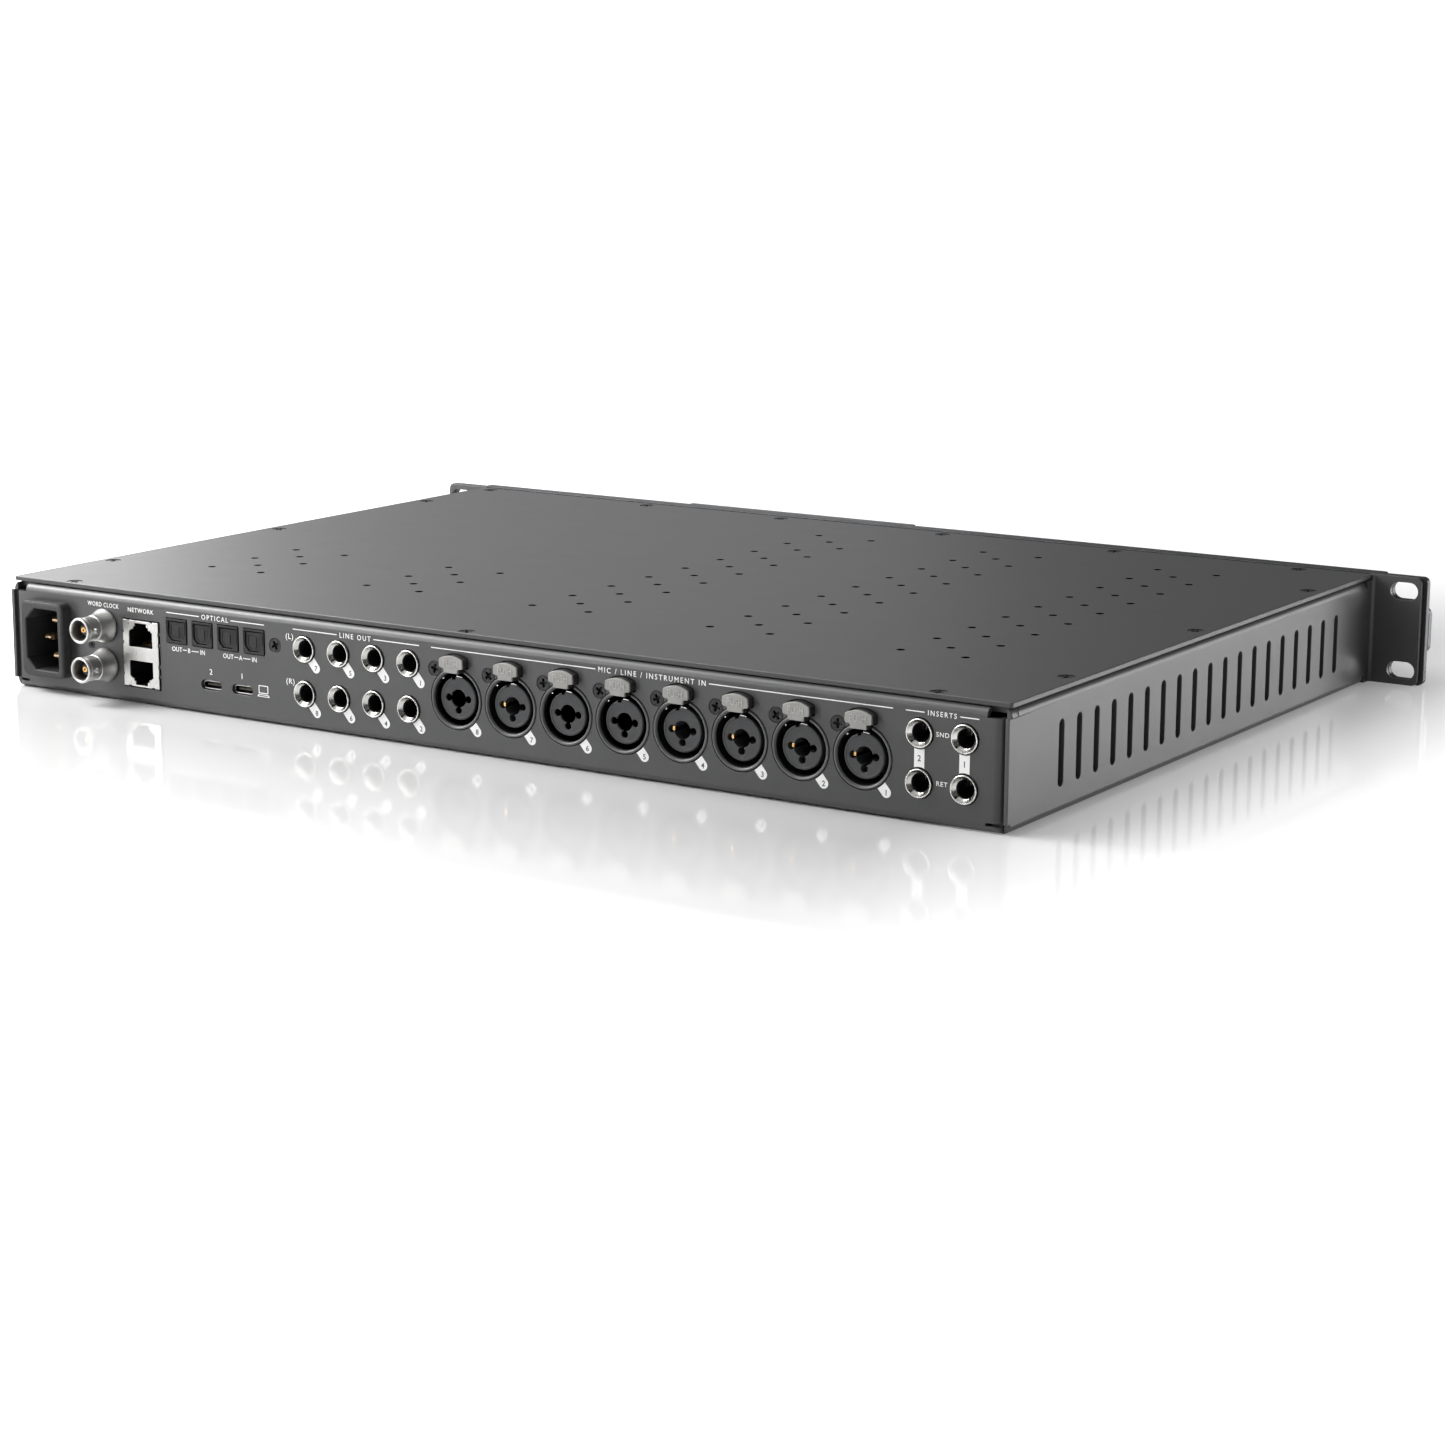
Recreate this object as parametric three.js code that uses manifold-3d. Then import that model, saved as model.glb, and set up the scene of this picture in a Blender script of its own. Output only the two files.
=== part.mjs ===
// An eight-channel microphone preamp, one rack unit high, as an assembly of separate parts.
// Lengths are in millimetres. X runs to the right as seen from the front, Y from the front to the
// rear, Z up. Parts are drawn with Y = 0 on the rear face of the rack ears and Z = 0 on the bench,
// and the finished unit is moved along Y so that its overall box is centred on the origin.

import * as THREE from 'three';
import { mergeVertices } from 'three/addons/utils/BufferGeometryUtils.js';
import Module from 'manifold-3d';

const wasm = await Module();
wasm.setup();

// ---- Driving dimensions ----

const GAP = 0.3;                 // clearance between touching parts
const SHEET = 2;                 // steel sheet of the tray and the rear panel
const BEND = 3;                  // outer radius of a bend in that sheet

const RACK_WIDTH = 482.6;        // over the front plate
const BODY_WIDTH = 438.74;       // over the side walls
const DEPTH = 305.6;             // rack ears to the outer face of the rear panel
const TOP = 43.3;                // upper face of the cover
const MID = 21.75;               // height of the unit's centre line
const COVER = 1.75;              // thickness of the cover

const SLOT_X = 232.55;           // rack slots
const SLOT_Z = 15.875;
const SLOT_LENGTH = 11.4;
const SLOT_HEIGHT = 7.1;

const PLATE_FRONT = -5.5;        // front plate
const PLATE_REAR = -SHEET - GAP;
const FASCIA_FRONT = -9.1;       // thick face in front of it
const FASCIA_REAR = PLATE_FRONT - GAP;
const BEZEL_FRONT = -13.1;       // raised display surround
const BEZEL_REAR = FASCIA_FRONT - GAP;

const BOARD_Z = 5;               // underside of the horizontal circuit boards
const BOARD = 1.6;               // thickness of a circuit board

const PLUG_BORE = 3.2;           // radius of a 6.35 mm socket

// Rear connectors: places across the panel, and heights from the centre line.
const COMBO = { x1: -165.48, pitch: 23.88, z: -2.2, ring: 11, bore: 9.7, insert: 7.9 };
const CONTACT = { offset: 4.3, radius: 1.3 };   // contact holes round a combined input's middle bore
// The release tab, and the height of its notch in the panel, from its socket's centre.
const LATCH = { halfWidth: 5.2, low: 9.75, shoulder: 14.8, crown: 17.4, room: 16.6 };
const LINE_OUT = { x1: 23.2, pitch: 16.11, z: 8.35, ring: 4.88 };
const INSERT_X = [-203.43, -186.76];
const OPTICAL = { x1: 95.55, pitch: 12.7, z: 8.6, width: 9.9, height: 9.2 };
const USB_X = [101.8, 117.05];
const USB_Z = -10.3;
const NETWORK = { x: 151.6, z: -2.05, width: 17.8, height: 25.5 };
const BNC_X = 170.5;
const BNC_Z = [7, -8.2];
const INLET = { x: 198.85, z: -0.75, width: 21.7, height: 29.5 };
const BLADES = [[-1.6, 7], [-1.6, -7], [2.4, 0]];   // inlet contacts from its centre, in (x, z)
const SHUTTER = { thickness: 0.9, y: DEPTH - 0.5, hinge: 3.1 };   // hinge height above the socket's centre

// Places in (x, y) of the posts that carry the three horizontal boards.
const BOARD_POSTS = [
  [-205, 130], [-205, 270], [5, 130], [5, 270],
  [26, 40], [138, 40], [26, 270], [138, 270],
  [158, 157], [206, 157], [158, 255], [206, 255],
];

// Front controls.
const KNOB = { x: 158, radius: 16, rear: -9.9, front: -25.9 };
const WINDOW = { x0: 4, x1: 103, halfHeight: 12.5 };
const BUTTON_X = [-124, -100, -76, -52];
const BUTTON = { width: 14, height: 8 };
const POWER_X = 203;
const PHONES_X = [-201, -174];

// ---- Solids ----

// Every arc of an outline is cut into twice this many sides: a few round a corner or a bend, more
// round a full circle.
const CORNER = 1;
const SMOOTH = 2;
const CIRCLE = 8;

function toSolid(geometry) {
  const bare = geometry.clone();
  bare.deleteAttribute('normal');
  bare.deleteAttribute('uv');
  const merged = mergeVertices(bare, 1e-4);
  const index = merged.index.array;
  const triangles = [];
  for (let i = 0; i < index.length; i += 3) {
    const [a, b, c] = [index[i], index[i + 1], index[i + 2]];
    if (a !== b && b !== c && c !== a) triangles.push(a, b, c);
  }
  return new wasm.Manifold(new wasm.Mesh({
    numProp: 3,
    vertProperties: new Float32Array(merged.attributes.position.array),
    triVerts: new Uint32Array(triangles),
  }));
}

function toGeometry(solid) {
  const mesh = solid.getMesh();
  const geometry = new THREE.BufferGeometry();
  geometry.setAttribute('position', new THREE.BufferAttribute(new Float32Array(mesh.vertProperties), 3));
  geometry.setIndex(new THREE.BufferAttribute(new Uint32Array(mesh.triVerts), 1));
  geometry.computeVertexNormals();
  return geometry;
}

function join(...solids) {
  return solids.reduce((whole, piece) => whole.add(piece));
}

function cut(solid, ...tools) {
  return tools.reduce((whole, tool) => whole.subtract(tool), solid);
}

function block(x0, x1, y0, y1, z0, z1) {
  const box = new THREE.BoxGeometry(x1 - x0, y1 - y0, z1 - z0);
  return toSolid(box.translate((x0 + x1) / 2, (y0 + y1) / 2, (z0 + z1) / 2));
}

function extruded(shapes, depth, steps) {
  return new THREE.ExtrudeGeometry(shapes, { depth, bevelEnabled: false, curveSegments: steps });
}

// Outlines drawn in (x, z), from y0 to y1.
function slabY(shapes, y0, y1, steps = CORNER) {
  return toSolid(extruded(shapes, y1 - y0, steps).rotateX(Math.PI / 2).translate(0, y1, 0));
}

// Outlines drawn in (x, y), from z0 to z1.
function slabZ(shapes, z0, z1, steps = CORNER) {
  return toSolid(extruded(shapes, z1 - z0, steps).translate(0, 0, z0));
}

// Outlines drawn in (y, z), from x0 to x1.
function slabX(shapes, x0, x1, steps = CORNER) {
  const turn = new THREE.Matrix4().makeBasis(
    new THREE.Vector3(0, 1, 0), new THREE.Vector3(0, 0, 1), new THREE.Vector3(1, 0, 0));
  return toSolid(extruded(shapes, x1 - x0, steps).applyMatrix4(turn).translate(x0, 0, 0));
}

// A round bar along Y.
function rod(radius, x, z, y0, y1, sides = 12) {
  const bar = new THREE.CylinderGeometry(radius, radius, y1 - y0, sides);
  return toSolid(bar.translate(x, (y0 + y1) / 2, z));
}

// A piece turned about an axis along Y: profile points are [radius, y].
function turned(profile, x, z, sides = 16) {
  const points = profile.map(([radius, y]) => new THREE.Vector2(radius, y));
  return toSolid(new THREE.LatheGeometry(points, sides).translate(x, 0, z));
}

// A rectangle centred on (u, v), with round corners.
function roundRect(u, v, width, height, radius) {
  const [a, b] = [width / 2, height / 2];
  const shape = new THREE.Shape();
  shape.moveTo(u - a + radius, v - b);
  shape.absarc(u + a - radius, v - b + radius, radius, -Math.PI / 2, 0);
  shape.absarc(u + a - radius, v + b - radius, radius, 0, Math.PI / 2);
  shape.absarc(u - a + radius, v + b - radius, radius, Math.PI / 2, Math.PI);
  shape.absarc(u - a + radius, v - b + radius, radius, Math.PI, 1.5 * Math.PI);
  return shape;
}

// Round-ended slots, lying or standing.
function obround(u, v, width, height) {
  const radius = Math.min(width, height) / 2;
  const shape = new THREE.Shape();
  if (width > height) {
    const reach = width / 2 - radius;
    shape.absarc(u + reach, v, radius, -Math.PI / 2, Math.PI / 2);
    shape.absarc(u - reach, v, radius, Math.PI / 2, 1.5 * Math.PI);
  } else {
    const reach = height / 2 - radius;
    shape.absarc(u, v + reach, radius, 0, Math.PI);
    shape.absarc(u, v - reach, radius, Math.PI, 2 * Math.PI);
  }
  return shape;
}

function disc(u, v, radius) {
  const shape = new THREE.Shape();
  shape.absarc(u, v, radius, 0, 2 * Math.PI);
  return shape;
}

function polygon(points) {
  return new THREE.Shape(points.map(([u, v]) => new THREE.Vector2(u, v)));
}

// ---- Scene graph ----

const unit = new THREE.Group();

function addPart(name, solid, [color, roughness, metalness]) {
  const material = new THREE.MeshStandardMaterial({ color, roughness, metalness });
  const mesh = new THREE.Mesh(toGeometry(solid), material);
  mesh.name = name;
  unit.add(mesh);
}

const PAINT = [0x4a4a4a, 0.5, 0.3];
const ANODISED = [0x3c3d40, 0.4, 0.6];
const NICKEL = [0xb9b6ae, 0.3, 1];
const BRASS = [0xc9a24c, 0.3, 1];
const BLACK = [0x151515, 0.5, 0];
const GREY = [0x3a3b3d, 0.5, 0];
const TAB = [0x8d8a84, 0.45, 0.2];
const BOARD_GREEN = [0x1d4a33, 0.6, 0];
const SMOKED = [0x101214, 0.1, 0];

// ---- Sheet metal ----

const HALF = BODY_WIDTH / 2;
const FLANGE_TOP = TOP - COVER - GAP;   // upper face of the flanges under the cover
const WALL_END = DEPTH - SHEET;         // rear edges of the side walls
const RELIEF = { y0: 4.6, y1: 6.1 };    // corner notches between the bends and the ears
const EAR_EDGE = 239.6;

// Section of the tray: a bottom, two walls and two inward flanges, with round bends.
function traySection() {
  const flange = 12;
  const centre = HALF - BEND;
  const inner = BEND - SHEET;
  const shape = new THREE.Shape();
  shape.moveTo(-centre, 0);
  shape.absarc(centre, BEND, BEND, -Math.PI / 2, 0);
  shape.absarc(centre, FLANGE_TOP - BEND, BEND, 0, Math.PI / 2);
  shape.lineTo(HALF - flange, FLANGE_TOP);
  shape.lineTo(HALF - flange, FLANGE_TOP - SHEET);
  shape.absarc(centre, FLANGE_TOP - BEND, inner, Math.PI / 2, 0, true);
  shape.absarc(centre, BEND, inner, 0, -Math.PI / 2, true);
  shape.absarc(-centre, BEND, inner, -Math.PI / 2, -Math.PI, true);
  shape.absarc(-centre, FLANGE_TOP - BEND, inner, Math.PI, Math.PI / 2, true);
  shape.lineTo(flange - HALF, FLANGE_TOP - SHEET);
  shape.lineTo(flange - HALF, FLANGE_TOP);
  shape.absarc(-centre, FLANGE_TOP - BEND, BEND, Math.PI / 2, Math.PI);
  shape.absarc(-centre, BEND, BEND, Math.PI, 1.5 * Math.PI);
  return shape;
}

// Section of one ear in (x, y): a short wall that bends outward, on the side given by its sign.
function earSection(side) {
  const tight = 1.5;
  const x = HALF + tight;
  const shape = new THREE.Shape();
  const wallStart = RELIEF.y0 + 0.9;
  if (side > 0) {
    shape.moveTo(HALF - SHEET, wallStart);
    shape.absarc(x, tight, tight + SHEET, Math.PI, 1.5 * Math.PI);
    shape.lineTo(EAR_EDGE, -SHEET);
    shape.lineTo(EAR_EDGE, 0);
    shape.absarc(x, tight, tight, 1.5 * Math.PI, Math.PI, true);
    shape.lineTo(HALF, wallStart);
  } else {
    shape.moveTo(SHEET - HALF, wallStart);
    shape.lineTo(-HALF, wallStart);
    shape.absarc(-x, tight, tight, 0, -Math.PI / 2, true);
    shape.lineTo(-EAR_EDGE, 0);
    shape.lineTo(-EAR_EDGE, -SHEET);
    shape.absarc(-x, tight, tight + SHEET, -Math.PI / 2, 0);
  }
  return shape;
}

function rackSlots() {
  const slots = [];
  for (const x of [-SLOT_X, SLOT_X]) {
    for (const z of [-SLOT_Z, SLOT_Z]) slots.push(obround(x, MID + z, SLOT_LENGTH, SLOT_HEIGHT));
  }
  return slots;
}

function chassisTray() {
  const channel = slabY(traySection(), RELIEF.y0, WALL_END, SMOOTH);
  const floor = block(-HALF + 5.4, HALF - 5.4, -SHEET, RELIEF.y1, 0, SHEET);
  const lip = block(-205, 205, -SHEET, 0, 0, 6);
  const earOutline = roundRect(0, MID, 2 * EAR_EDGE, TOP - 0.2, 2.5);
  const ears = join(slabZ(earSection(1), 0.1, TOP, SMOOTH), slabZ(earSection(-1), 0.1, TOP, SMOOTH))
    .intersect(slabY(earOutline, -20, 20, SMOOTH))
    .subtract(block(-HALF - GAP, HALF + GAP, 0, 20, FLANGE_TOP, TOP + 1));

  // The rear panel's lower flange tucks under a raised tongue of the floor.
  const tongue = join(block(-200, 200, 278, 301, SHEET + GAP, 2 * SHEET + GAP),
    block(-200, 200, 278, 284, 1, 2 * SHEET + GAP));
  const tray = join(channel, floor, lip, ears);
  const flangeRoom = block(-HALF + 2.2, HALF - 2.2, 289.7, DEPTH, -1, SHEET + 1);
  const panelRoom = block(-HALF + SHEET, HALF - SHEET, 301, DEPTH, 30, TOP);

  const reliefs = [];
  for (const side of [-1, 1]) {
    const [a, b] = side > 0 ? [213, 220] : [-220, -213];
    reliefs.push(block(a, b, RELIEF.y0, RELIEF.y1, -1, 3.2));
    reliefs.push(block(a, b, RELIEF.y0, RELIEF.y1, 38.6, FLANGE_TOP + 1));
  }
  const vents = [];
  for (let i = 0; i < 19; i += 1) vents.push(obround(36.06 + 12.923 * i, MID - 1, 3.7, 22.8));

  const posts = [];
  for (const [x, y] of BOARD_POSTS) {
    const post = new THREE.CylinderGeometry(2.6, 2.6, BOARD_Z - GAP - 1, 6).rotateX(Math.PI / 2);
    posts.push(toSolid(post.translate(x, y, (BOARD_Z - GAP + 1) / 2)));
  }
  const cleared = cut(tray, flangeRoom, panelRoom, ...reliefs, slabX(vents, -230, 230, SMOOTH),
    slabY(rackSlots(), -20, 20, 2 * SMOOTH));
  return join(cleared, tongue, ...posts);
}

const comboX = (n) => COMBO.x1 + COMBO.pitch * (n - 1);
const lineOutX = (n) => LINE_OUT.x1 + LINE_OUT.pitch * (n - 1);
const opticalX = (n) => OPTICAL.x1 + OPTICAL.pitch * (n - 1);

// Every opening of the rear panel, in (x, z), and how finely its arcs are cut.
function rearOpenings() {
  const round = [];
  const square = [];
  for (let n = 1; n <= 8; n += 1) {
    round.push(disc(comboX(n), MID + COMBO.z, COMBO.ring + GAP));
    const notch = LATCH.halfWidth + 0.4;
    square.push(polygon([
      [comboX(n) - notch, MID + COMBO.z], [comboX(n) + notch, MID + COMBO.z],
      [comboX(n) + notch, MID + COMBO.z + LATCH.room], [comboX(n) - notch, MID + COMBO.z + LATCH.room],
    ]));
  }
  for (const x of [...[1, 2, 3, 4].map(lineOutX), ...INSERT_X]) {
    for (const z of [-LINE_OUT.z, LINE_OUT.z]) round.push(disc(x, MID + z, LINE_OUT.ring + GAP));
  }
  for (const z of BNC_Z) round.push(disc(BNC_X, MID + z, 4.9 + GAP));
  for (let n = 1; n <= 4; n += 1) {
    square.push(roundRect(opticalX(n), MID + OPTICAL.z,
      OPTICAL.width + 2 * GAP, OPTICAL.height + 2 * GAP, 0.5));
  }
  for (const x of USB_X) {
    square.push(roundRect(x, MID + USB_Z, 9.4 + 2 * GAP, 3.2 + 2 * GAP, 1.6));
  }
  square.push(roundRect(NETWORK.x, MID + NETWORK.z,
    NETWORK.width + 2 * GAP, NETWORK.height + 2 * GAP, 0.5));
  square.push(roundRect(INLET.x, MID + INLET.z, INLET.width - 2, INLET.height - 2, 0.8));
  return { round, square };
}

function rearPanel() {
  const flangeEnd = 292;
  const inner = BEND - SHEET;
  const [bottom, top] = [0.1, FLANGE_TOP];
  const web = new THREE.Shape();
  web.moveTo(flangeEnd, bottom);
  web.absarc(DEPTH - BEND, bottom + BEND, BEND, -Math.PI / 2, 0);
  web.absarc(DEPTH - BEND, top - BEND, BEND, 0, Math.PI / 2);
  web.lineTo(flangeEnd, top);
  web.lineTo(flangeEnd, top - SHEET);
  web.absarc(DEPTH - BEND, top - BEND, inner, Math.PI / 2, 0, true);
  web.absarc(DEPTH - BEND, bottom + BEND, inner, 0, -Math.PI / 2, true);
  web.lineTo(flangeEnd, bottom + SHEET);

  const end = HALF - SHEET - GAP;
  const plan = new THREE.Shape();
  plan.moveTo(-end, flangeEnd);
  plan.lineTo(SHEET - end, flangeEnd);
  plan.absarc(BEND - end, DEPTH - BEND, inner, Math.PI, Math.PI / 2, true);
  plan.absarc(end - BEND, DEPTH - BEND, inner, Math.PI / 2, 0, true);
  plan.lineTo(end - SHEET, flangeEnd);
  plan.lineTo(end, flangeEnd);
  plan.absarc(end - BEND, DEPTH - BEND, BEND, 0, Math.PI / 2);
  plan.absarc(BEND - end, DEPTH - BEND, BEND, Math.PI / 2, Math.PI);

  const folded = join(slabX(web, -211.4, 211.4, SMOOTH), slabZ(plan, 4.6, 38, SMOOTH));
  const { round, square } = rearOpenings();
  const flangeRoom = [-1, 1].map((side) => block(Math.min(side * 205, side * 216),
    Math.max(side * 205, side * 216), 280, 302.4, FLANGE_TOP - 2.4, TOP));
  let panel = cut(folded, ...flangeRoom);
  for (const hole of round) panel = panel.subtract(slabY(hole, WALL_END - 1, DEPTH + 1, CIRCLE));
  for (const hole of square) panel = panel.subtract(slabY(hole, WALL_END - 1, DEPTH + 1));
  return panel;
}

// Round vents of the cover: the four corners and the centre of a square, repeated along Y.
function ventPlaces() {
  const step = 12.85;
  const across = 78.65;
  const places = [];
  for (let column = -2; column <= 2; column += 1) {
    const x = 0.4 + across * column;
    const rows = column > 0 ? 5 : 17;
    for (let row = 0; row < rows; row += 1) {
      const y = 244 - step * row;
      const offsets = row % 2 ? [0] : [-12.7, 12.7];
      for (const offset of offsets) places.push([x + offset, y]);
    }
  }
  return places;
}

function topCover() {
  const sheet = slabZ(roundRect(0, (0.3 + WALL_END) / 2, BODY_WIDTH - 0.26, WALL_END - 0.3, 1),
    TOP - COVER, TOP);
  const vents = ventPlaces().map(([x, y]) => disc(x, y, 1.6));
  return sheet.subtract(slabZ(vents, TOP - COVER - 1, TOP + 1, 3));
}

// L-shaped rail behind the front plate: the cover's front screws go into it.
function frontRail() {
  return join(block(-205, 205, -SHEET, -0.4, 35, FLANGE_TOP),
    block(-205, 205, -SHEET, 12, FLANGE_TOP - BOARD, FLANGE_TOP));
}

// ---- Front ----

// Openings for the controls, which go through both the plate and the fascia.
function controlOpenings() {
  const square = BUTTON_X.map((x) => roundRect(x, MID, BUTTON.width + 0.8, BUTTON.height + 0.8, 1.6));
  square.push(roundRect((WINDOW.x0 + WINDOW.x1) / 2, MID,
    WINDOW.x1 - WINDOW.x0, 2 * WINDOW.halfHeight, 1));
  const round = [disc(KNOB.x, MID, 3.5 + GAP), disc(POWER_X, MID, 5.7 + 0.4)];
  for (const x of PHONES_X) round.push(disc(x, MID, 4.5 + GAP));
  return join(slabY(square, -20, 20), slabY(round, -20, 20, CIRCLE));
}

function frontPlate() {
  const outline = roundRect(0, MID, RACK_WIDTH, TOP, 2.5);
  return cut(slabY(outline, PLATE_FRONT, PLATE_REAR, SMOOTH),
    slabY(rackSlots(), -20, 20, 2 * SMOOTH), controlOpenings());
}

// The fascia covers the body's width, and tongues carry it out to the plate's ends.
function frontFascia() {
  const face = slabY(roundRect(0, MID, 445, TOP, 1.2), FASCIA_FRONT, FASCIA_REAR);
  const tongues = slabY(roundRect(0, MID, RACK_WIDTH, 18.4, 3), FASCIA_FRONT, FASCIA_REAR);
  return join(face, tongues).subtract(controlOpenings());
}

function displayBezel() {
  const [x0, x1] = [-6, 113];
  const outline = roundRect((x0 + x1) / 2, MID, x1 - x0, TOP - 0.4, 2.5);
  const chamfer = 2.2;
  const slopes = [-1, 1].map((side) => {
    const edge = side > 0 ? x1 : x0;
    return slabZ(polygon(side > 0
      ? [[edge - chamfer, BEZEL_FRONT - 1], [edge + 1, BEZEL_FRONT - 1], [edge + 1, BEZEL_FRONT + chamfer]]
      : [[edge + chamfer, BEZEL_FRONT - 1], [edge - 1, BEZEL_FRONT + chamfer], [edge - 1, BEZEL_FRONT - 1]]),
    -1, TOP + 1);
  });
  const opening = slabY(roundRect((WINDOW.x0 + WINDOW.x1) / 2, MID,
    WINDOW.x1 - WINDOW.x0 - 1, 2 * WINDOW.halfHeight - 1, 1.5), BEZEL_FRONT - 1, BEZEL_REAR + 1);
  const rebate = slabY(roundRect((WINDOW.x0 + WINDOW.x1) / 2, MID,
    WINDOW.x1 - WINDOW.x0 + 5, 2 * WINDOW.halfHeight + 5, 1.5), BEZEL_FRONT + 1.3, BEZEL_REAR + 1);
  return cut(slabY(outline, BEZEL_FRONT, BEZEL_REAR, SMOOTH), ...slopes, opening, rebate);
}

function displayWindow() {
  return slabY(roundRect((WINDOW.x0 + WINDOW.x1) / 2, MID,
    WINDOW.x1 - WINDOW.x0 + 4.4, 2 * WINDOW.halfHeight + 4.4, 1.2),
  BEZEL_FRONT + 1.3 + GAP, BEZEL_REAR);
}

function displayModule() {
  const { x0, x1, halfHeight } = WINDOW;
  return join(
    block(x0 + 0.4, x1 - 0.4, FASCIA_FRONT, 1, MID - halfHeight + 0.4, MID + halfHeight - 0.4),
    block(x0 - 5, x1 + 5, 0.5, 2.1, MID - 15, MID + 12.6),
    block(x0 + 30, x1 - 30, 2, 7.7, MID - 8, MID - 3));
}

// The front board carries a switch behind each button.
function frontBoard() {
  const top = MID + 12.5;
  const switches = [...BUTTON_X, POWER_X].map((x) => block(x - 3, x + 3, 3.4, 8.2, MID - 3, MID + 3));
  return join(block(-150, 212, 8, 8 + BOARD, 8, top), ...switches,
    block(-20, 30, 9, 15, 12, 18), block(120, 134, 9, 12, 12, 26));
}

function levelEncoder() {
  const body = join(block(KNOB.x - 6.7, KNOB.x + 6.7, -2, 7.7, MID - 6.7, MID + 6.7),
    rod(3.5, KNOB.x, MID, FASCIA_FRONT + GAP, -1, 12));
  return body.subtract(rod(2.5 + GAP, KNOB.x, MID, -20, 4, 12));
}

function encoderShaft() {
  return rod(2.45, KNOB.x, MID, KNOB.front + 3.4, 3.4, 12);
}

function levelKnob() {
  const { rear, front, radius } = KNOB;
  const outside = turned([
    [0, front], [radius - 1.6, front], [radius - 0.8, front + 0.8], [radius, rear - 1],
    [radius - 1, rear], [0, rear],
  ], KNOB.x, MID, 24);
  const hollow = turned([[0, rear - 3], [radius - 3, rear - 3], [radius - 3, rear + 1], [0, rear + 1]],
    KNOB.x, MID, 20);
  const hub = turned([[0, rear - 4], [6, rear - 4], [6, rear - 0.4], [0, rear - 0.4]], KNOB.x, MID, 12);
  const bore = rod(2.45 + GAP, KNOB.x, MID, front + 3, rear + 2, 12);
  return outside.subtract(hollow).add(hub).subtract(bore);
}

// A cap through the front, a retaining flange behind it, and a stem to its switch.
function pushButton(x, outline, flange, proud, steps) {
  return join(slabY(outline, FASCIA_FRONT - proud, PLATE_REAR + 1, steps),
    slabY(flange, PLATE_REAR + GAP, PLATE_REAR + 1.6, steps), rod(1.5, x, MID, PLATE_REAR + 1, 1.4, 8));
}

function functionButton(x) {
  return pushButton(x, roundRect(x, MID, BUTTON.width, BUTTON.height, 1.2),
    roundRect(x, MID, BUTTON.width + 3, BUTTON.height + 3, 1.2), 1.4, CORNER);
}

function powerButton() {
  return pushButton(POWER_X, disc(POWER_X, MID, 5.7), disc(POWER_X, MID, 7.2), 2.2, CIRCLE);
}

// A 6.35 mm socket on the front, with a threaded bush and a round nut.
function phonesJack(x) {
  const nut = FASCIA_FRONT - GAP;
  const bush = turned([[0, nut - 1.6], [5.4, nut - 1.6], [6.3, nut - 0.9], [6.3, nut], [4.5, nut],
    [4.5, PLATE_REAR + 1.5], [0, PLATE_REAR + 1.5]], x, MID);
  const body = block(x - 7.5, x + 7.5, PLATE_REAR + GAP, 22, MID - 6.5, MID + 6.5);
  return join(bush, body).subtract(rod(PLUG_BORE, x, MID, -40, 19));
}

// ---- Rear sockets ----

const BEHIND = WALL_END - GAP;     // front of what stands behind the rear panel

// A pair of 6.35 mm sockets, one above the other.
function stackedPair(x) {
  let jack = block(x - 7.5, x + 7.5, BEHIND - 22, BEHIND, MID - 14.7, MID + 14.7);
  for (const z of [MID - LINE_OUT.z, MID + LINE_OUT.z]) {
    jack = jack.add(turned([[0, BEHIND - 1], [LINE_OUT.ring, BEHIND - 1], [LINE_OUT.ring, DEPTH + 0.4],
      [LINE_OUT.ring - 0.4, DEPTH + 0.8], [0, DEPTH + 0.8]], x, z, 12));
    jack = jack.subtract(rod(PLUG_BORE, x, z, BEHIND - 19, DEPTH + 5));
  }
  return jack;
}

// Combined input: a ring round an annular space, a core with a 6.35 mm bore and three contact holes.
function comboJack(x) {
  const z = MID + COMBO.z;
  const face = DEPTH + 0.3;
  const body = join(block(x - 11.7, x + 11.7, BEHIND - 27, BEHIND, z - 12.6, z + 12.2),
    rod(COMBO.ring, x, z, BEHIND - 1, face, 16));
  const space = turned([[COMBO.insert, face - 14], [COMBO.bore, face - 14], [COMBO.bore, face + 1],
    [0, face + 1], [0, face - 1.6], [COMBO.insert, face - 1.6], [COMBO.insert, face - 14]], x, z, 16);
  const bore = rod(PLUG_BORE, x, z, face - 24, face + 1);
  const { offset, radius } = CONTACT;
  const contacts = [[-offset, 0], [offset, 0], [0, -offset]].map(([u, v]) =>
    rod(radius, x + u, z + v, face - 12, face, 6));
  const room = LATCH.halfWidth + 0.4;
  const latchRoom = block(x - room, x + room, BEHIND - 9, face + 1, z + 9.4, z + 20);
  return cut(body, space, bore, ...contacts, latchRoom);
}

// The release tab above each combined input: a crowned cap on a short stem.
function comboLatch(x) {
  const z = MID + COMBO.z;
  const [y0, y1] = [DEPTH - 3.6, DEPTH + 3.5];
  const { halfWidth, low, shoulder, crown } = LATCH;
  const cap = new THREE.Shape();
  cap.moveTo(x - halfWidth, z + low);
  cap.lineTo(x + halfWidth, z + low);
  cap.lineTo(x + halfWidth, z + shoulder);
  cap.quadraticCurveTo(x, z + crown, x - halfWidth, z + shoulder);
  const stem = block(x - 4, x + 4, DEPTH - 9, y0 + 1, z + 9.9, z + 11.6);
  return join(slabY(cap, y0, y1, 4), stem);
}

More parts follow.
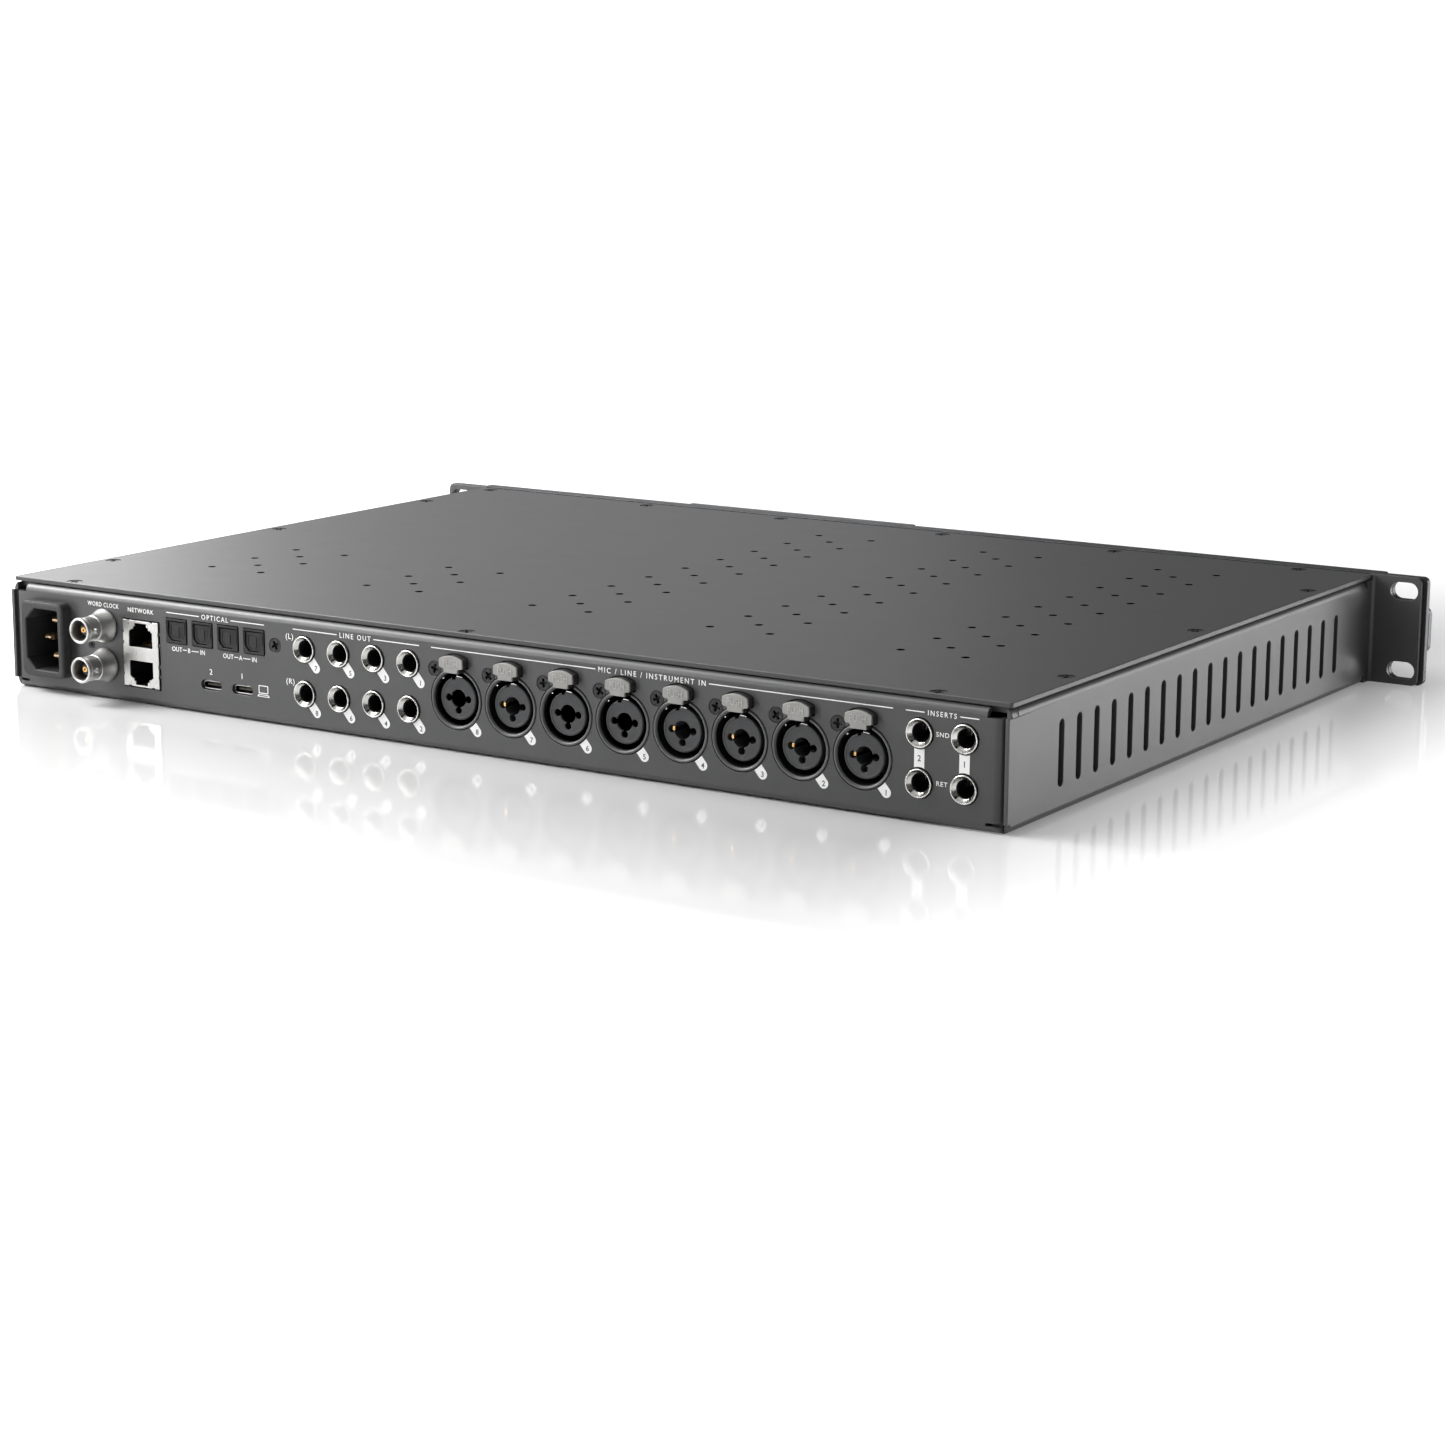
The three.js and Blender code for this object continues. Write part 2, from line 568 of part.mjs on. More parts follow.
function bncJack(z) {
  const shell = turned([[0, BEHIND - 1], [4.9, BEHIND - 1], [4.9, DEPTH + GAP], [6.6, DEPTH + GAP],
    [6.6, DEPTH + 1], [5.1, DEPTH + 4.6], [4.8, DEPTH + 4.6], [4.8, DEPTH + 13.4], [4.4, DEPTH + 14],
    [3.6, DEPTH + 14], [3.6, DEPTH + 5], [1, DEPTH + 5], [1, DEPTH + 12], [0, DEPTH + 12]], BNC_X, z);
  const lug = new THREE.CylinderGeometry(1, 1, 12.2, 6).rotateZ(Math.PI / 2);
  const lugs = toSolid(lug.translate(BNC_X, DEPTH + 10, z));
  const body = block(BNC_X - 6.5, BNC_X + 6.5, BEHIND - 16, BEHIND, z - 6.6, z + 6.6);
  const nose = rod(4.2, BNC_X, z, DEPTH + 8, DEPTH + 12, 12);
  return join(shell, lugs.subtract(nose), body);
}

// Two network ports in one shield; the lower one is upside down.
function networkJack() {
  const { x, z, width, height } = NETWORK;
  const shell = block(x - width / 2, x + width / 2, BEHIND - 21, DEPTH + 0.6,
    MID + z - height / 2, MID + z + height / 2);
  const ports = [[MID + 3.9, 1], [MID - 8.2, -1]].flatMap(([centre, up]) => {
    const notch = [centre + up * 3, centre + up * 5.9].sort((a, b) => a - b);
    return [block(x - 5.85, x + 5.85, DEPTH - 14, DEPTH + 2, centre - 3.4, centre + 3.4),
      block(x - 3.2, x + 3.2, DEPTH - 8, DEPTH + 2, notch[0], notch[1])];
  });
  return cut(shell, ...ports);
}

function opticalJack(n) {
  const [x, z] = [opticalX(n), MID + OPTICAL.z];
  const body = join(
    block(x - OPTICAL.width / 2, x + OPTICAL.width / 2, BEHIND - 1, DEPTH + 0.4,
      z - OPTICAL.height / 2, z + OPTICAL.height / 2),
    block(x - 5.9, x + 5.9, BEHIND - 15, BEHIND, z - 5.4, z + 5));
  return body.subtract(block(x - 4.1, x + 4.1, DEPTH - 10.5, DEPTH + 2, z - 3.9, z + 3.9));
}

// A flap that closes the optical socket, hinged along its top edge.
function opticalShutter(n) {
  const [x, z] = [opticalX(n), MID + OPTICAL.z];
  const { thickness, y } = SHUTTER;
  const hinge = z + SHUTTER.hinge;
  const profile = new THREE.Shape();
  profile.moveTo(y - thickness / 2, z - 3.5);
  profile.lineTo(y + thickness / 2, z - 3.5);
  profile.absarc(y, hinge, thickness / 2, 0, Math.PI);
  return slabX(profile, x - 3.8, x + 3.8, SMOOTH);
}

function usbJack(x) {
  const z = MID + USB_Z;
  const shell = slabY(obround(x, z, 9.4, 3.2), BEHIND - 8, DEPTH + 0.2, SMOOTH);
  const mouth = slabY(obround(x, z, 8.7, 2.5), DEPTH - 7, DEPTH + 2, SMOOTH);
  return shell.subtract(mouth).add(block(x - 3.3, x + 3.3, DEPTH - 8, DEPTH - 0.6, z - 0.35, z + 0.35));
}

// Mains inlet, standing on end: a flange outside the panel and a cavity with one chamfered side.
function inletCavity(y0, y1) {
  const { x, z } = INLET;
  const [a, b, c] = [8.2, 12, 4.5];
  return slabY(polygon([
    [x - a, MID + z - b], [x + a - c, MID + z - b], [x + a, MID + z - b + c],
    [x + a, MID + z + b - c], [x + a - c, MID + z + b], [x - a, MID + z + b],
  ]), y0, y1);
}

function iecInlet() {
  const { x, z, width, height } = INLET;
  const flange = slabY(roundRect(x, MID + z, width, height, 2.5), DEPTH + GAP, DEPTH + 5);
  const body = block(x - width / 2 + 1.4, x + width / 2 - 1.4, BEHIND - 18, DEPTH + 1,
    MID + z - height / 2 + 1.4, MID + z + height / 2 - 1.4);
  const slots = BLADES.map(([u, v]) =>
    block(x + u - 2.4, x + u + 2.4, BEHIND - 20, DEPTH, MID + z + v - 1.4, MID + z + v + 1.4));
  return cut(join(flange, body), inletCavity(DEPTH - 12, DEPTH + 6), ...slots);
}

function iecContacts() {
  const { x, z } = INLET;
  const blades = BLADES.map(([u, v]) =>
    block(x + u - 2, x + u + 2, BEHIND - 20, DEPTH + 2, MID + z + v - 1, MID + z + v + 1));
  return join(block(x - 7, x + 7, BEHIND - 20.5, BEHIND - 18.4, MID + z - 11, MID + z + 11), ...blades);
}

// ---- Circuit boards ----

function board(x0, x1, y0, y1) {
  return block(x0, x1, y0, y1, BOARD_Z, BOARD_Z + BOARD);
}

function onBoard(x, y, width, depth, height) {
  return block(x - width / 2, x + width / 2, y - depth / 2, y + depth / 2,
    BOARD_Z + BOARD - 0.1, BOARD_Z + BOARD + height);
}

// Digital board: processor with a heat sink, converters and connectors.
function mainBoard() {
  const fins = [-9, -3, 3, 9].map((offset) => onBoard(80 + offset, 150, 2, 26, 12));
  return join(board(17, 146, 30, 277), onBoard(80, 150, 26, 26, 4), ...fins,
    onBoard(45, 220, 14, 14, 2), onBoard(70, 220, 14, 14, 2), onBoard(120, 100, 20, 20, 2),
    onBoard(60, 45, 50, 6, 8));
}

// Analogue board: one preamp stage behind each combined input.
function preampBoard() {
  const stages = [];
  for (let n = 1; n <= 8; n += 1) {
    stages.push(onBoard(comboX(n), 240, 15, 10, 9), onBoard(comboX(n), 205, 8, 16, 3));
  }
  return join(board(-212, 13.4, 120, 275), ...stages, onBoard(-100, 130, 50, 6, 8));
}

function powerSupply() {
  return join(board(152, 212, 150, 262), onBoard(170, 190, 28, 30, 24), onBoard(200, 185, 14, 20, 20),
    onBoard(180, 240, 36, 20, 16), onBoard(196, 160, 20, 6, 8));
}

// ---- Assembly ----

addPart('chassis_tray', chassisTray(), PAINT);
addPart('rear_panel', rearPanel(), PAINT);
addPart('top_cover', topCover(), PAINT);
addPart('front_rail', frontRail(), NICKEL);
addPart('front_plate', frontPlate(), ANODISED);
addPart('front_fascia', frontFascia(), ANODISED);
addPart('display_bezel', displayBezel(), ANODISED);
addPart('display_window', displayWindow(), SMOKED);
addPart('display_module', displayModule(), BLACK);
addPart('front_board', frontBoard(), BOARD_GREEN);
addPart('level_encoder', levelEncoder(), NICKEL);
addPart('encoder_shaft', encoderShaft(), NICKEL);
addPart('level_knob', levelKnob(), ANODISED);
BUTTON_X.forEach((x, i) => addPart(`function_button_${i + 1}`, functionButton(x), GREY));
addPart('power_button', powerButton(), NICKEL);
PHONES_X.forEach((x, i) => addPart(`phones_jack_${i + 1}`, phonesJack(x), NICKEL));

for (let n = 1; n <= 8; n += 1) {
  addPart(`combo_jack_${n}`, comboJack(comboX(n)), BLACK);
  addPart(`combo_latch_${n}`, comboLatch(comboX(n)), TAB);
}
for (let n = 1; n <= 4; n += 1) {
  addPart(`line_out_jack_${n}`, stackedPair(lineOutX(n)), NICKEL);
  addPart(`optical_jack_${n}`, opticalJack(n), GREY);
  addPart(`optical_shutter_${n}`, opticalShutter(n), GREY);
}
INSERT_X.forEach((x, i) => addPart(`insert_jack_${i + 1}`, stackedPair(x), NICKEL));
USB_X.forEach((x, i) => addPart(`usb_c_jack_${i + 1}`, usbJack(x), NICKEL));
BNC_Z.forEach((z, i) => addPart(`bnc_jack_${i + 1}`, bncJack(MID + z), NICKEL));
addPart('network_jack', networkJack(), NICKEL);
addPart('iec_inlet', iecInlet(), BLACK);
addPart('iec_contacts', iecContacts(), BRASS);
addPart('main_board', mainBoard(), BOARD_GREEN);
addPart('preamp_board', preampBoard(), BOARD_GREEN);
addPart('power_supply', powerSupply(), BOARD_GREEN);

// The unit reaches from the knob's face to the noses of the clock sockets.
unit.position.y = -(KNOB.front + DEPTH + 14) / 2;

export default unit;
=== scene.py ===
"""Visual model of an eight-channel microphone preamp, one rack unit high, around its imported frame.
"""

import math
from contextlib import contextmanager
from functools import partial

import bmesh
import bpy
from mathutils import Matrix, Vector


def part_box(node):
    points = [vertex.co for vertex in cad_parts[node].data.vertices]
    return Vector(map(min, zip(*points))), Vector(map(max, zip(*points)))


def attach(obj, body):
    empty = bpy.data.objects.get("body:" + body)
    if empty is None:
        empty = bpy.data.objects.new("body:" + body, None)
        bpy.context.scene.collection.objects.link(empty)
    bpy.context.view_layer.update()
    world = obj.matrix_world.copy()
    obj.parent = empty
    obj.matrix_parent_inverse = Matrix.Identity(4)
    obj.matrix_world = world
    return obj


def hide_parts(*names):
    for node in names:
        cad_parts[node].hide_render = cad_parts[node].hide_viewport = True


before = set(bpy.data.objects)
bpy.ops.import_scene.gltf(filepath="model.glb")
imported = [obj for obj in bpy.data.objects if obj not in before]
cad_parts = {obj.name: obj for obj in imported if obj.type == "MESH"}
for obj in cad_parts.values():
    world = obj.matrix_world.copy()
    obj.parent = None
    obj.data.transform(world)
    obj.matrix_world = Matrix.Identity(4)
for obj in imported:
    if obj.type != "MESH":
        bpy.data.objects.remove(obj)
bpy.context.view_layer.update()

# ---- Sizes shared with the frame ----

SHEET = 2.0                    # steel sheet
BEND = 3.0                     # outer radius of its bends
GAP = 0.3                      # clearance between neighbours
MM = 0.001

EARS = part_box("chassis_tray")[0].y / MM + SHEET    # rear face of the rack ears, in the frame


def drawn(node):
    """Lowest and highest corner of a CAD node, in the drawing's millimetres."""
    low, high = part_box(node)
    shift = Vector((0, EARS, 0))
    return low / MM - shift, high / MM - shift


def middle(node):
    low, high = drawn(node)
    return (low + high) / 2


def depths(node):
    """Front and rear of a CAD node."""
    return [corner.y for corner in drawn(node)]


def row(name, count):
    """Places along X of the CAD nodes name_1 to name_count."""
    return [middle(f"{name}_{n}").x for n in range(1, count + 1)]


_, REAR, FLANGE_TOP = drawn("rear_panel")[1]       # outer face of the rear panel, top of its flanges
COVER = drawn("top_cover")
COVER_LOW, COVER_TOP = COVER[0].z, COVER[1].z
WALL_END = COVER[1].y                              # rear edges of the side walls
HALF = COVER[1].x + 0.13                           # outer face of a side wall
EAR_EDGE = drawn("chassis_tray")[1].x
RACK_HALF = drawn("front_plate")[1].x
PLATE_FRONT, PLATE_REAR = depths("front_plate")
FASCIA_FRONT, FASCIA_REAR = depths("front_fascia")
MID = 21.75                                        # height of the unit's centre line
SLOT_X = 232.55
SLOT_Z = 15.875
BEHIND = WALL_END - GAP                            # front of what stands behind the rear panel
BACK = BEHIND - REAR                               # the same place, counted from the panel's outer face

# ---- Outlines ----


def arc(u, v, radius, start, end, steps=8):
    """Points from angle start to angle end, in degrees."""
    angles = [math.radians(start + (end - start) * i / steps) for i in range(steps + 1)]
    return [(u + radius * math.cos(a), v + radius * math.sin(a)) for a in angles]


def circle(u, v, radius, sides=48):
    return arc(u, v, radius, 0, 360, sides)[:-1]


def round_rect(u, v, width, height, radius, steps=6):
    a, b = width / 2 - radius, height / 2 - radius
    points = []
    for turn, (p, q) in enumerate(((a, -b), (a, b), (-a, b), (-a, -b))):
        points += arc(u + p, v + q, radius, 90 * turn - 90, 90 * turn, steps)
    return points


def rectangle(u0, u1, v0, v1):
    return [(u0, v0), (u1, v0), (u1, v1), (u0, v1)]


def both_sides(half):
    """An outline from its half on the side of +u, which starts and ends near the middle line."""
    return half + [(-u, v) for u, v in reversed(half)]


def obround(u, v, width, height, steps=14):
    radius = min(width, height) / 2
    if width > height:
        reach = width / 2 - radius
        return arc(u + reach, v, radius, -90, 90, steps) + arc(u - reach, v, radius, 90, 270, steps)
    reach = height / 2 - radius
    return arc(u, v + reach, radius, 0, 180, steps) + arc(u, v - reach, radius, 180, 360, steps)


# ---- Solids ----


def new_object(mesh):
    obj = bpy.data.objects.new(mesh.name, mesh)
    bpy.context.scene.collection.objects.link(obj)
    return obj


@contextmanager
def edited(mesh):
    """The mesh as a bmesh, which is written back at the end."""
    work = bmesh.new()
    work.from_mesh(mesh)
    yield work
    work.to_mesh(mesh)
    work.free()


TURN = {
    "x": lambda u, v, w: (w, u, v),
    "y": lambda u, v, w: (u, w, v),
    "z": lambda u, v, w: (u, v, w),
}


def skin(rings, axis, closed=False):
    """A solid through rings of points (u, v, w), w being the place along axis. One point makes a tip."""
    mesh = bpy.data.meshes.new("solid")
    with edited(mesh) as work:
        rings = [[work.verts.new(TURN[axis](*point)) for point in ring] for ring in rings]
        for ring in (rings[0], rings[-1]):
            if len(ring) > 1 and not closed:
                work.faces.new(ring)
        for a, b in zip(rings, rings[1:] + rings[:closed]):
            for i in range(max(len(a), len(b))):
                corners = [ring[k % len(ring)] for ring, k in ((a, i), (a, i + 1), (b, i + 1), (b, i))]
                work.faces.new(list(dict.fromkeys(corners)))
        bmesh.ops.recalc_face_normals(work, faces=work.faces)
    return new_object(mesh)


def layered(levels, axis="z"):
    """A solid through outlines drawn across axis, each with its own place along it."""
    return skin([[(*point, place) for point in outline] for outline, place in levels], axis)


def prism(outline, low, high, axis="y"):
    """An outline drawn across axis and extruded along it. Axis x takes (y, z), y takes (x, z)."""
    return layered(((outline, low), (outline, high)), axis)


def prisms(outlines, low, high, axis="y"):
    """Outlines that don't touch, extruded alike."""
    return joined([prism(outline, low, high, axis) for outline in outlines])


def block(x0, x1, y0, y1, z0, z1):
    x0, x1 = sorted((x0, x1))
    return prism(rectangle(x0, x1, y0, y1), z0, z1, "z")


def bar(x, z, wide, tall, y0, y1):
    """A block from y0 to y1, centred on (x, z)."""
    return block(x - wide / 2, x + wide / 2, y0, y1, z - tall / 2, z + tall / 2)


def lathe(profile, x, z, sides=64, closed=False, base=0):
    """A profile of (radius, y) turned about the line along Y through (x, z), with y counted from base."""
    rings = [[(u, v, base + y) for u, v in (circle(x, z, radius, sides) if radius else [(x, z)])]
             for radius, y in profile]
    return skin(rings, "y", closed)


def joined(solids):
    """Solids that don't touch, as one mesh."""
    mesh = bpy.data.meshes.new("group")
    with edited(mesh) as work:
        for obj in solids:
            work.from_mesh(obj.data)
            bpy.data.objects.remove(obj)
    return new_object(mesh)


def copied(obj):
    return new_object(obj.data.copy())


def moved(obj, matrix):
    obj.data.transform(matrix)
    if matrix.determinant() < 0:
        obj.data.flip_normals()
    return obj


def placed(obj, x, y, z, turn=0):
    """Turns a solid drawn about the origin by degrees from +X towards +Z, and moves it to a place."""
    return moved(obj, Matrix.Translation((x, y, z)) @ Matrix.Rotation(math.radians(-turn), 4, "Y"))


def upturned(obj):
    """Turns +Y up to +Z: what was drawn at (x, z, -y) ends at (x, y, z)."""
    return moved(obj, Matrix(((1, 0, 0, 0), (0, 0, -1, 0), (0, 1, 0, 0), (0, 0, 0, 1))))


def evaluated_mesh(obj):
    graph = bpy.context.evaluated_depsgraph_get()
    return bpy.data.meshes.new_from_object(obj.evaluated_get(graph))


def combine(operation, target, *tools):
    for tool in tools:
        modifier = target.modifiers.new("combine", "BOOLEAN")
        modifier.operation = operation
        modifier.solver = "MANIFOLD"
        modifier.object = tool
    mesh = evaluated_mesh(target)
    target.modifiers.clear()
    target.data = mesh
    for tool in tools:
        bpy.data.objects.remove(tool)
    return target


cut = partial(combine, "DIFFERENCE")
weld = partial(combine, "UNION")
overlap = partial(combine, "INTERSECT")


def sliced(obj, axis, places):
    """The same solid with its faces split at places along an axis, so that no face holds many openings."""
    normal = Vector([float(name == axis) for name in "xyz"])
    with edited(obj.data) as work:
        for place in places:
            bmesh.ops.bisect_plane(work, geom=work.verts[:] + work.edges[:] + work.faces[:], dist=1e-5,
                                   plane_co=normal * place, plane_no=normal)
    return obj


SHARP = math.radians(32)       # edges that turn by more than this are rounded
SAME = 0.004                   # corners closer than this are one


def round_edges(obj, width, segments):
    rounding = obj.modifiers.new("edges", "BEVEL")
    rounding.width = width * MM
    rounding.segments = segments
    rounding.limit_method = "ANGLE"
    rounding.angle_limit = SHARP
    return rounding


def finish(obj, name, material, node="", bevel=0.05, segments=2, body="chassis"):
    """Places a drawn solid in the frame, rounds its edges and hands it to a body."""
    obj.name = name
    obj.data.name = name
    with edited(obj.data) as work:
        bmesh.ops.remove_doubles(work, verts=work.verts, dist=SAME)
        bmesh.ops.dissolve_degenerate(work, edges=work.edges, dist=SAME)
    obj.data.transform(Matrix.Scale(MM, 4) @ Matrix.Translation((0, EARS, 0)))
    obj.data.shade_smooth()
    if bevel:
        rounding = round_edges(obj, bevel, segments)
        rounding.use_clamp_overlap = False
        rounding.miter_outer = "MITER_ARC"
    else:
        obj.data.set_sharp_from_angle(angle=SHARP)
    obj.modifiers.new("normals", "WEIGHTED_NORMAL").keep_sharp = True
    obj.data.materials.clear()
    obj.data.materials.append(material)
    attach(obj, body)
    if node:
        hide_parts(node)


# ---- Materials ----


def feed(tree, value, socket):
    """Links a socket to another one, or sets its number or colour."""
    if isinstance(value, bpy.types.NodeSocket):
        tree.links.new(value, socket)
    else:
        socket.default_value = value


def wired(tree, kind, inputs, **settings):
    """A new node with its settings, and with what feeds each of its inputs."""
    node = tree.nodes.new("ShaderNode" + kind)
    for name, value in settings.items():
        setattr(node, name, value)
    for socket, value in inputs.items():
        feed(tree, value, node.inputs[socket])
    return node


def map_range(tree, value, low, high, start, end):
    """A value that runs from start to end, mapped to run from low to high."""
    inputs = {"Value": value, "From Min": start, "From Max": end, "To Min": low, "To Max": high}
    return wired(tree, "MapRange", inputs).outputs["Result"]


class Shader:
    """A node material: a Principled shader, and short names for the nodes that feed it."""

    def __init__(self, name, roughness, metallic=0.0, **sockets):
        self.material = bpy.data.materials.new(name)
        self.material.use_nodes = True
        self.tree = self.material.node_tree
        self.sockets = self.tree.nodes["Principled BSDF"].inputs
        self.place = self.tree.nodes.new("ShaderNodeTexCoord").outputs["Object"]
        for socket, value in {"Roughness": roughness, "Metallic": metallic, **sockets}.items():
            self.set(socket.replace("_", " "), value)

    def set(self, socket, value):
        feed(self.tree, value, self.sockets[socket])

    def scaled(self, stretch, shift=(0, 0, 0)):
        inputs = {"Scale": stretch, "Location": shift, "Vector": self.place}
        return wired(self.tree, "Mapping", inputs).outputs["Vector"]

    def noise(self, size, detail=2.0, stretch=(1, 1, 1), distortion=0.0):
        """Noise with features about size millimetres across."""
        inputs = {"Scale": 1 / (size * MM), "Detail": detail, "Distortion": distortion}
        return wired(self.tree, "TexNoise", {**inputs, "Vector": self.scaled(stretch)}).outputs["Fac"]

    def cells(self, size, output):
        inputs = {"Scale": 1 / (size * MM), "Vector": self.place}
        return wired(self.tree, "TexVoronoi", inputs).outputs[output]

    def spread(self, value, low, high, start=0.3, end=0.7):
        """A noise value stretched to run from low to high."""
        return map_range(self.tree, value, low, high, start, end)

    def mix(self, factor, first, second):
        colors = [(*value, 1) if isinstance(value, tuple) else value for value in (first, second)]
        inputs = {"Factor": factor, 6: colors[0], 7: colors[1]}
        return wired(self.tree, "Mix", inputs, data_type="RGBA").outputs[2]

    def math(self, operation, *values):
        return wired(self.tree, "Math", dict(enumerate(values)), operation=operation).outputs[0]

    def split(self, vector):
        return wired(self.tree, "SeparateXYZ", {"Vector": vector}).outputs

    def tone(self, value, low, high):
        """A tone that runs from low to high with a noise value."""
        self.set("Base Color", self.mix(self.spread(value, 0, 1), low, high))

    def gloss(self, value, low, high):
        """A roughness that runs from low to high with a noise value."""
        self.set("Roughness", self.spread(value, low, high))

    def inside_walls(self, x, y0, y1):
        """1 on upright faces inside the given rectangle, in metres, and 0 elsewhere."""
        place, normal = self.split(self.place), self.split(self.place.node.outputs["Normal"])
        result = self.math("LESS_THAN", self.math("ABSOLUTE", normal["Z"]), 0.5)
        for test in (self.math("LESS_THAN", self.math("ABSOLUTE", place["X"]), x),
                     self.math("GREATER_THAN", place["Y"], y0), self.math("LESS_THAN", place["Y"], y1)):
            result = self.math("MULTIPLY", result, test)
        return result

    def bump(self, height, distance, strength=1.0):
        """Relief of the given height in millimetres."""
        inputs = {"Distance": distance * MM, "Strength": strength, "Height": height}
        self.set("Normal", wired(self.tree, "Bump", inputs).outputs["Normal"])


def shade(color, factor):
    return tuple(channel * factor for channel in color)


def powder_coat(name, color, roughness=0.42, bores=None):
    """Fine sand-texture coat: small round grains and a slow drift of tone.

    With bores given as (largest x, lowest y, highest y), the walls of openings inside it get painted shade:
    near black and with little reflection, standing in for the shade down the holes.
    """
    coat = Shader(name, roughness, IOR=1.5)
    toned = coat.mix(coat.spread(coat.noise(45, 3), 0, 1), shade(color, 0.98), shade(color, 1.02))
    toned = coat.mix(coat.spread(coat.noise(0.5, 3), 0, 0.2, 0.5, 0.75), toned, shade(color, 1.4))
    coat.gloss(coat.noise(12, 3), roughness - 0.006, roughness + 0.008)
    if bores:
        painted_bore_shade = coat.inside_walls(*bores)
        # Painted shade: the walls of the vents are near black, as if in shade.
        toned = coat.mix(painted_bore_shade, toned, (0.002, 0.002, 0.002))
        coat.set("Specular IOR Level", coat.spread(painted_bore_shade, 0.5, 0.03, 0, 1))
    coat.set("Base Color", toned)
    coat.bump(coat.noise(0.4, 2), 0.008, 0.35)
    return coat.material


def brushed(name, color, roughness, stretch, depth=0.006, metallic=1.0):
    """Metal with fine lines along the axis that stretch shrinks."""
    metal = Shader(name, roughness, metallic)
    line = metal.noise(0.12, 3, stretch)
    metal.tone(line, shade(color, 0.88), shade(color, 1.08))
    metal.gloss(metal.noise(0.3, 2, stretch), roughness - 0.06, roughness + 0.08)
    metal.bump(line, depth, 0.6)
    return metal.material


def plated(name, color, roughness, depth=0.001):
    """Bright plating, slightly uneven in tone and gloss."""
    metal = Shader(name, roughness, 1.0)
    metal.tone(metal.noise(5, 3), shade(color, 0.95), shade(color, 1.03))
    metal.gloss(metal.noise(1.5, 4), roughness - 0.03, roughness + 0.05)
    metal.bump(metal.noise(0.6, 2), depth, 0.2)
    return metal.material


def moulded(name, color, roughness, grain=0.22, depth=0.015, strength=0.5, specular=0.5, cap=None):
    """Moulded plastic with a spark-eroded texture and slightly shinier patches.

    With cap given, a place in metres along Y, only what lies behind it has the color: the rest is dark,
    painted shade that stands in for the shade on a part's sides.
    """
    plastic = Shader(name, roughness, Specular_IOR_Level=specular)
    toned = plastic.mix(plastic.spread(plastic.noise(9, 3), 0, 1), shade(color, 0.88), shade(color, 1.12))
    if cap:
        # Painted shade: all but the cap is near black, as the shaded sides of a release tab look.
        painted_shade_side = plastic.math("LESS_THAN", plastic.split(plastic.place)["Y"], cap)
        toned = plastic.mix(painted_shade_side, toned, (0.03, 0.03, 0.029))
    plastic.set("Base Color", toned)
    plastic.gloss(plastic.noise(1.4, 3), roughness - 0.06, roughness + 0.08)
    plastic.bump(plastic.noise(grain, 2), depth, strength)
    return plastic.material


def ink(name, color):
    """Screen-printed ink, a little uneven in cover and gloss."""
    layer = Shader(name, 0.5)
    layer.tone(layer.noise(0.3, 4), shade(color, 0.93), color)
    layer.gloss(layer.noise(0.8, 2), 0.42, 0.56)
    return layer.material


def smoked_window(name):
    """Polished smoked acrylic with faint wipe marks."""
    pane = Shader(name, 0.05, IOR=1.49)
    wiped = pane.noise(6, 4, (0.2, 1, 1), 0.8)
    pane.tone(wiped, (0.006, 0.006, 0.008), (0.010, 0.010, 0.012))
    pane.gloss(wiped, 0.03, 0.09)
    return pane.material


def populated_board(name, top):
    """Solder mask with tracks and pads up to height top; what stands above it is parts in their own tones."""
    mask = Shader(name, 0.4)
    tracks = wired(mask.tree, "TexBrick", {
        "Scale": 420, "Mortar Size": 0.06, "Vector": mask.place, "Color1": (0.006, 0.045, 0.018, 1),
        "Color2": (0.008, 0.055, 0.022, 1), "Mortar": (0.02, 0.10, 0.05, 1)})
    pads = mask.spread(mask.cells(3.2, "Distance"), 1, 0, 0.10, 0.13)
    surface = mask.mix(pads, tracks.outputs["Color"], (0.45, 0.42, 0.36))
    parts = mask.mix(mask.spread(mask.noise(20, 0), 0, 0.08), (0.02, 0.02, 0.022), mask.cells(26, "Color"))
    above = mask.spread(mask.split(mask.place)["Z"], 0, 1, (top + 0.1) * MM, (top + 0.15) * MM)
    mask.set("Base Color", mask.mix(above, surface, parts))
    mask.gloss(mask.noise(1.2, 2), 0.32, 0.5)
    mask.bump(tracks.outputs["Fac"], 0.03, 0.4)
    return mask.material


ALONG_X = (0.02, 1, 1)         # stretch of a brushed face's lines
COVER_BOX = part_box("top_cover")
# Rectangle in which the cover's vent walls get painted shade.
BORES = (COVER_BOX[1].x - MM, COVER_BOX[0].y + MM, COVER_BOX[1].y - MM)
# Front of the release tab that keeps its tone; deeper than this the tab gets painted shade on its sides.
TAB_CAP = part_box("combo_latch_1")[1][1] - 0.9 * MM

# One powder coat in three tones, as painted light and shade: the tray's walls lighter, the cover darker, the
# rear panel between, for how light falls on each.
PAINT = powder_coat("powder coat", (0.060, 0.060, 0.061))
COVER_PAINT = powder_coat("powder coat, cover", (0.041, 0.041, 0.042), bores=BORES)
PANEL_PAINT = powder_coat("powder coat, rear panel", (0.052, 0.052, 0.053), 0.36)
FRONT_PLATE = brushed("dark anodised aluminium", (0.055, 0.056, 0.060), 0.38, ALONG_X, metallic=0.75)
FASCIA = brushed("brushed dark aluminium", (0.075, 0.077, 0.082), 0.34, ALONG_X, metallic=0.85)
ZINC = brushed("zinc plated steel", (0.55, 0.56, 0.57), 0.34, (0.15, 1, 1))
SHIELD = brushed("tinned shield", (0.47, 0.465, 0.45), 0.32, (1, 1, 0.1), 0.004)
NICKEL = plated("nickel plate", (0.74, 0.73, 0.70), 0.24)
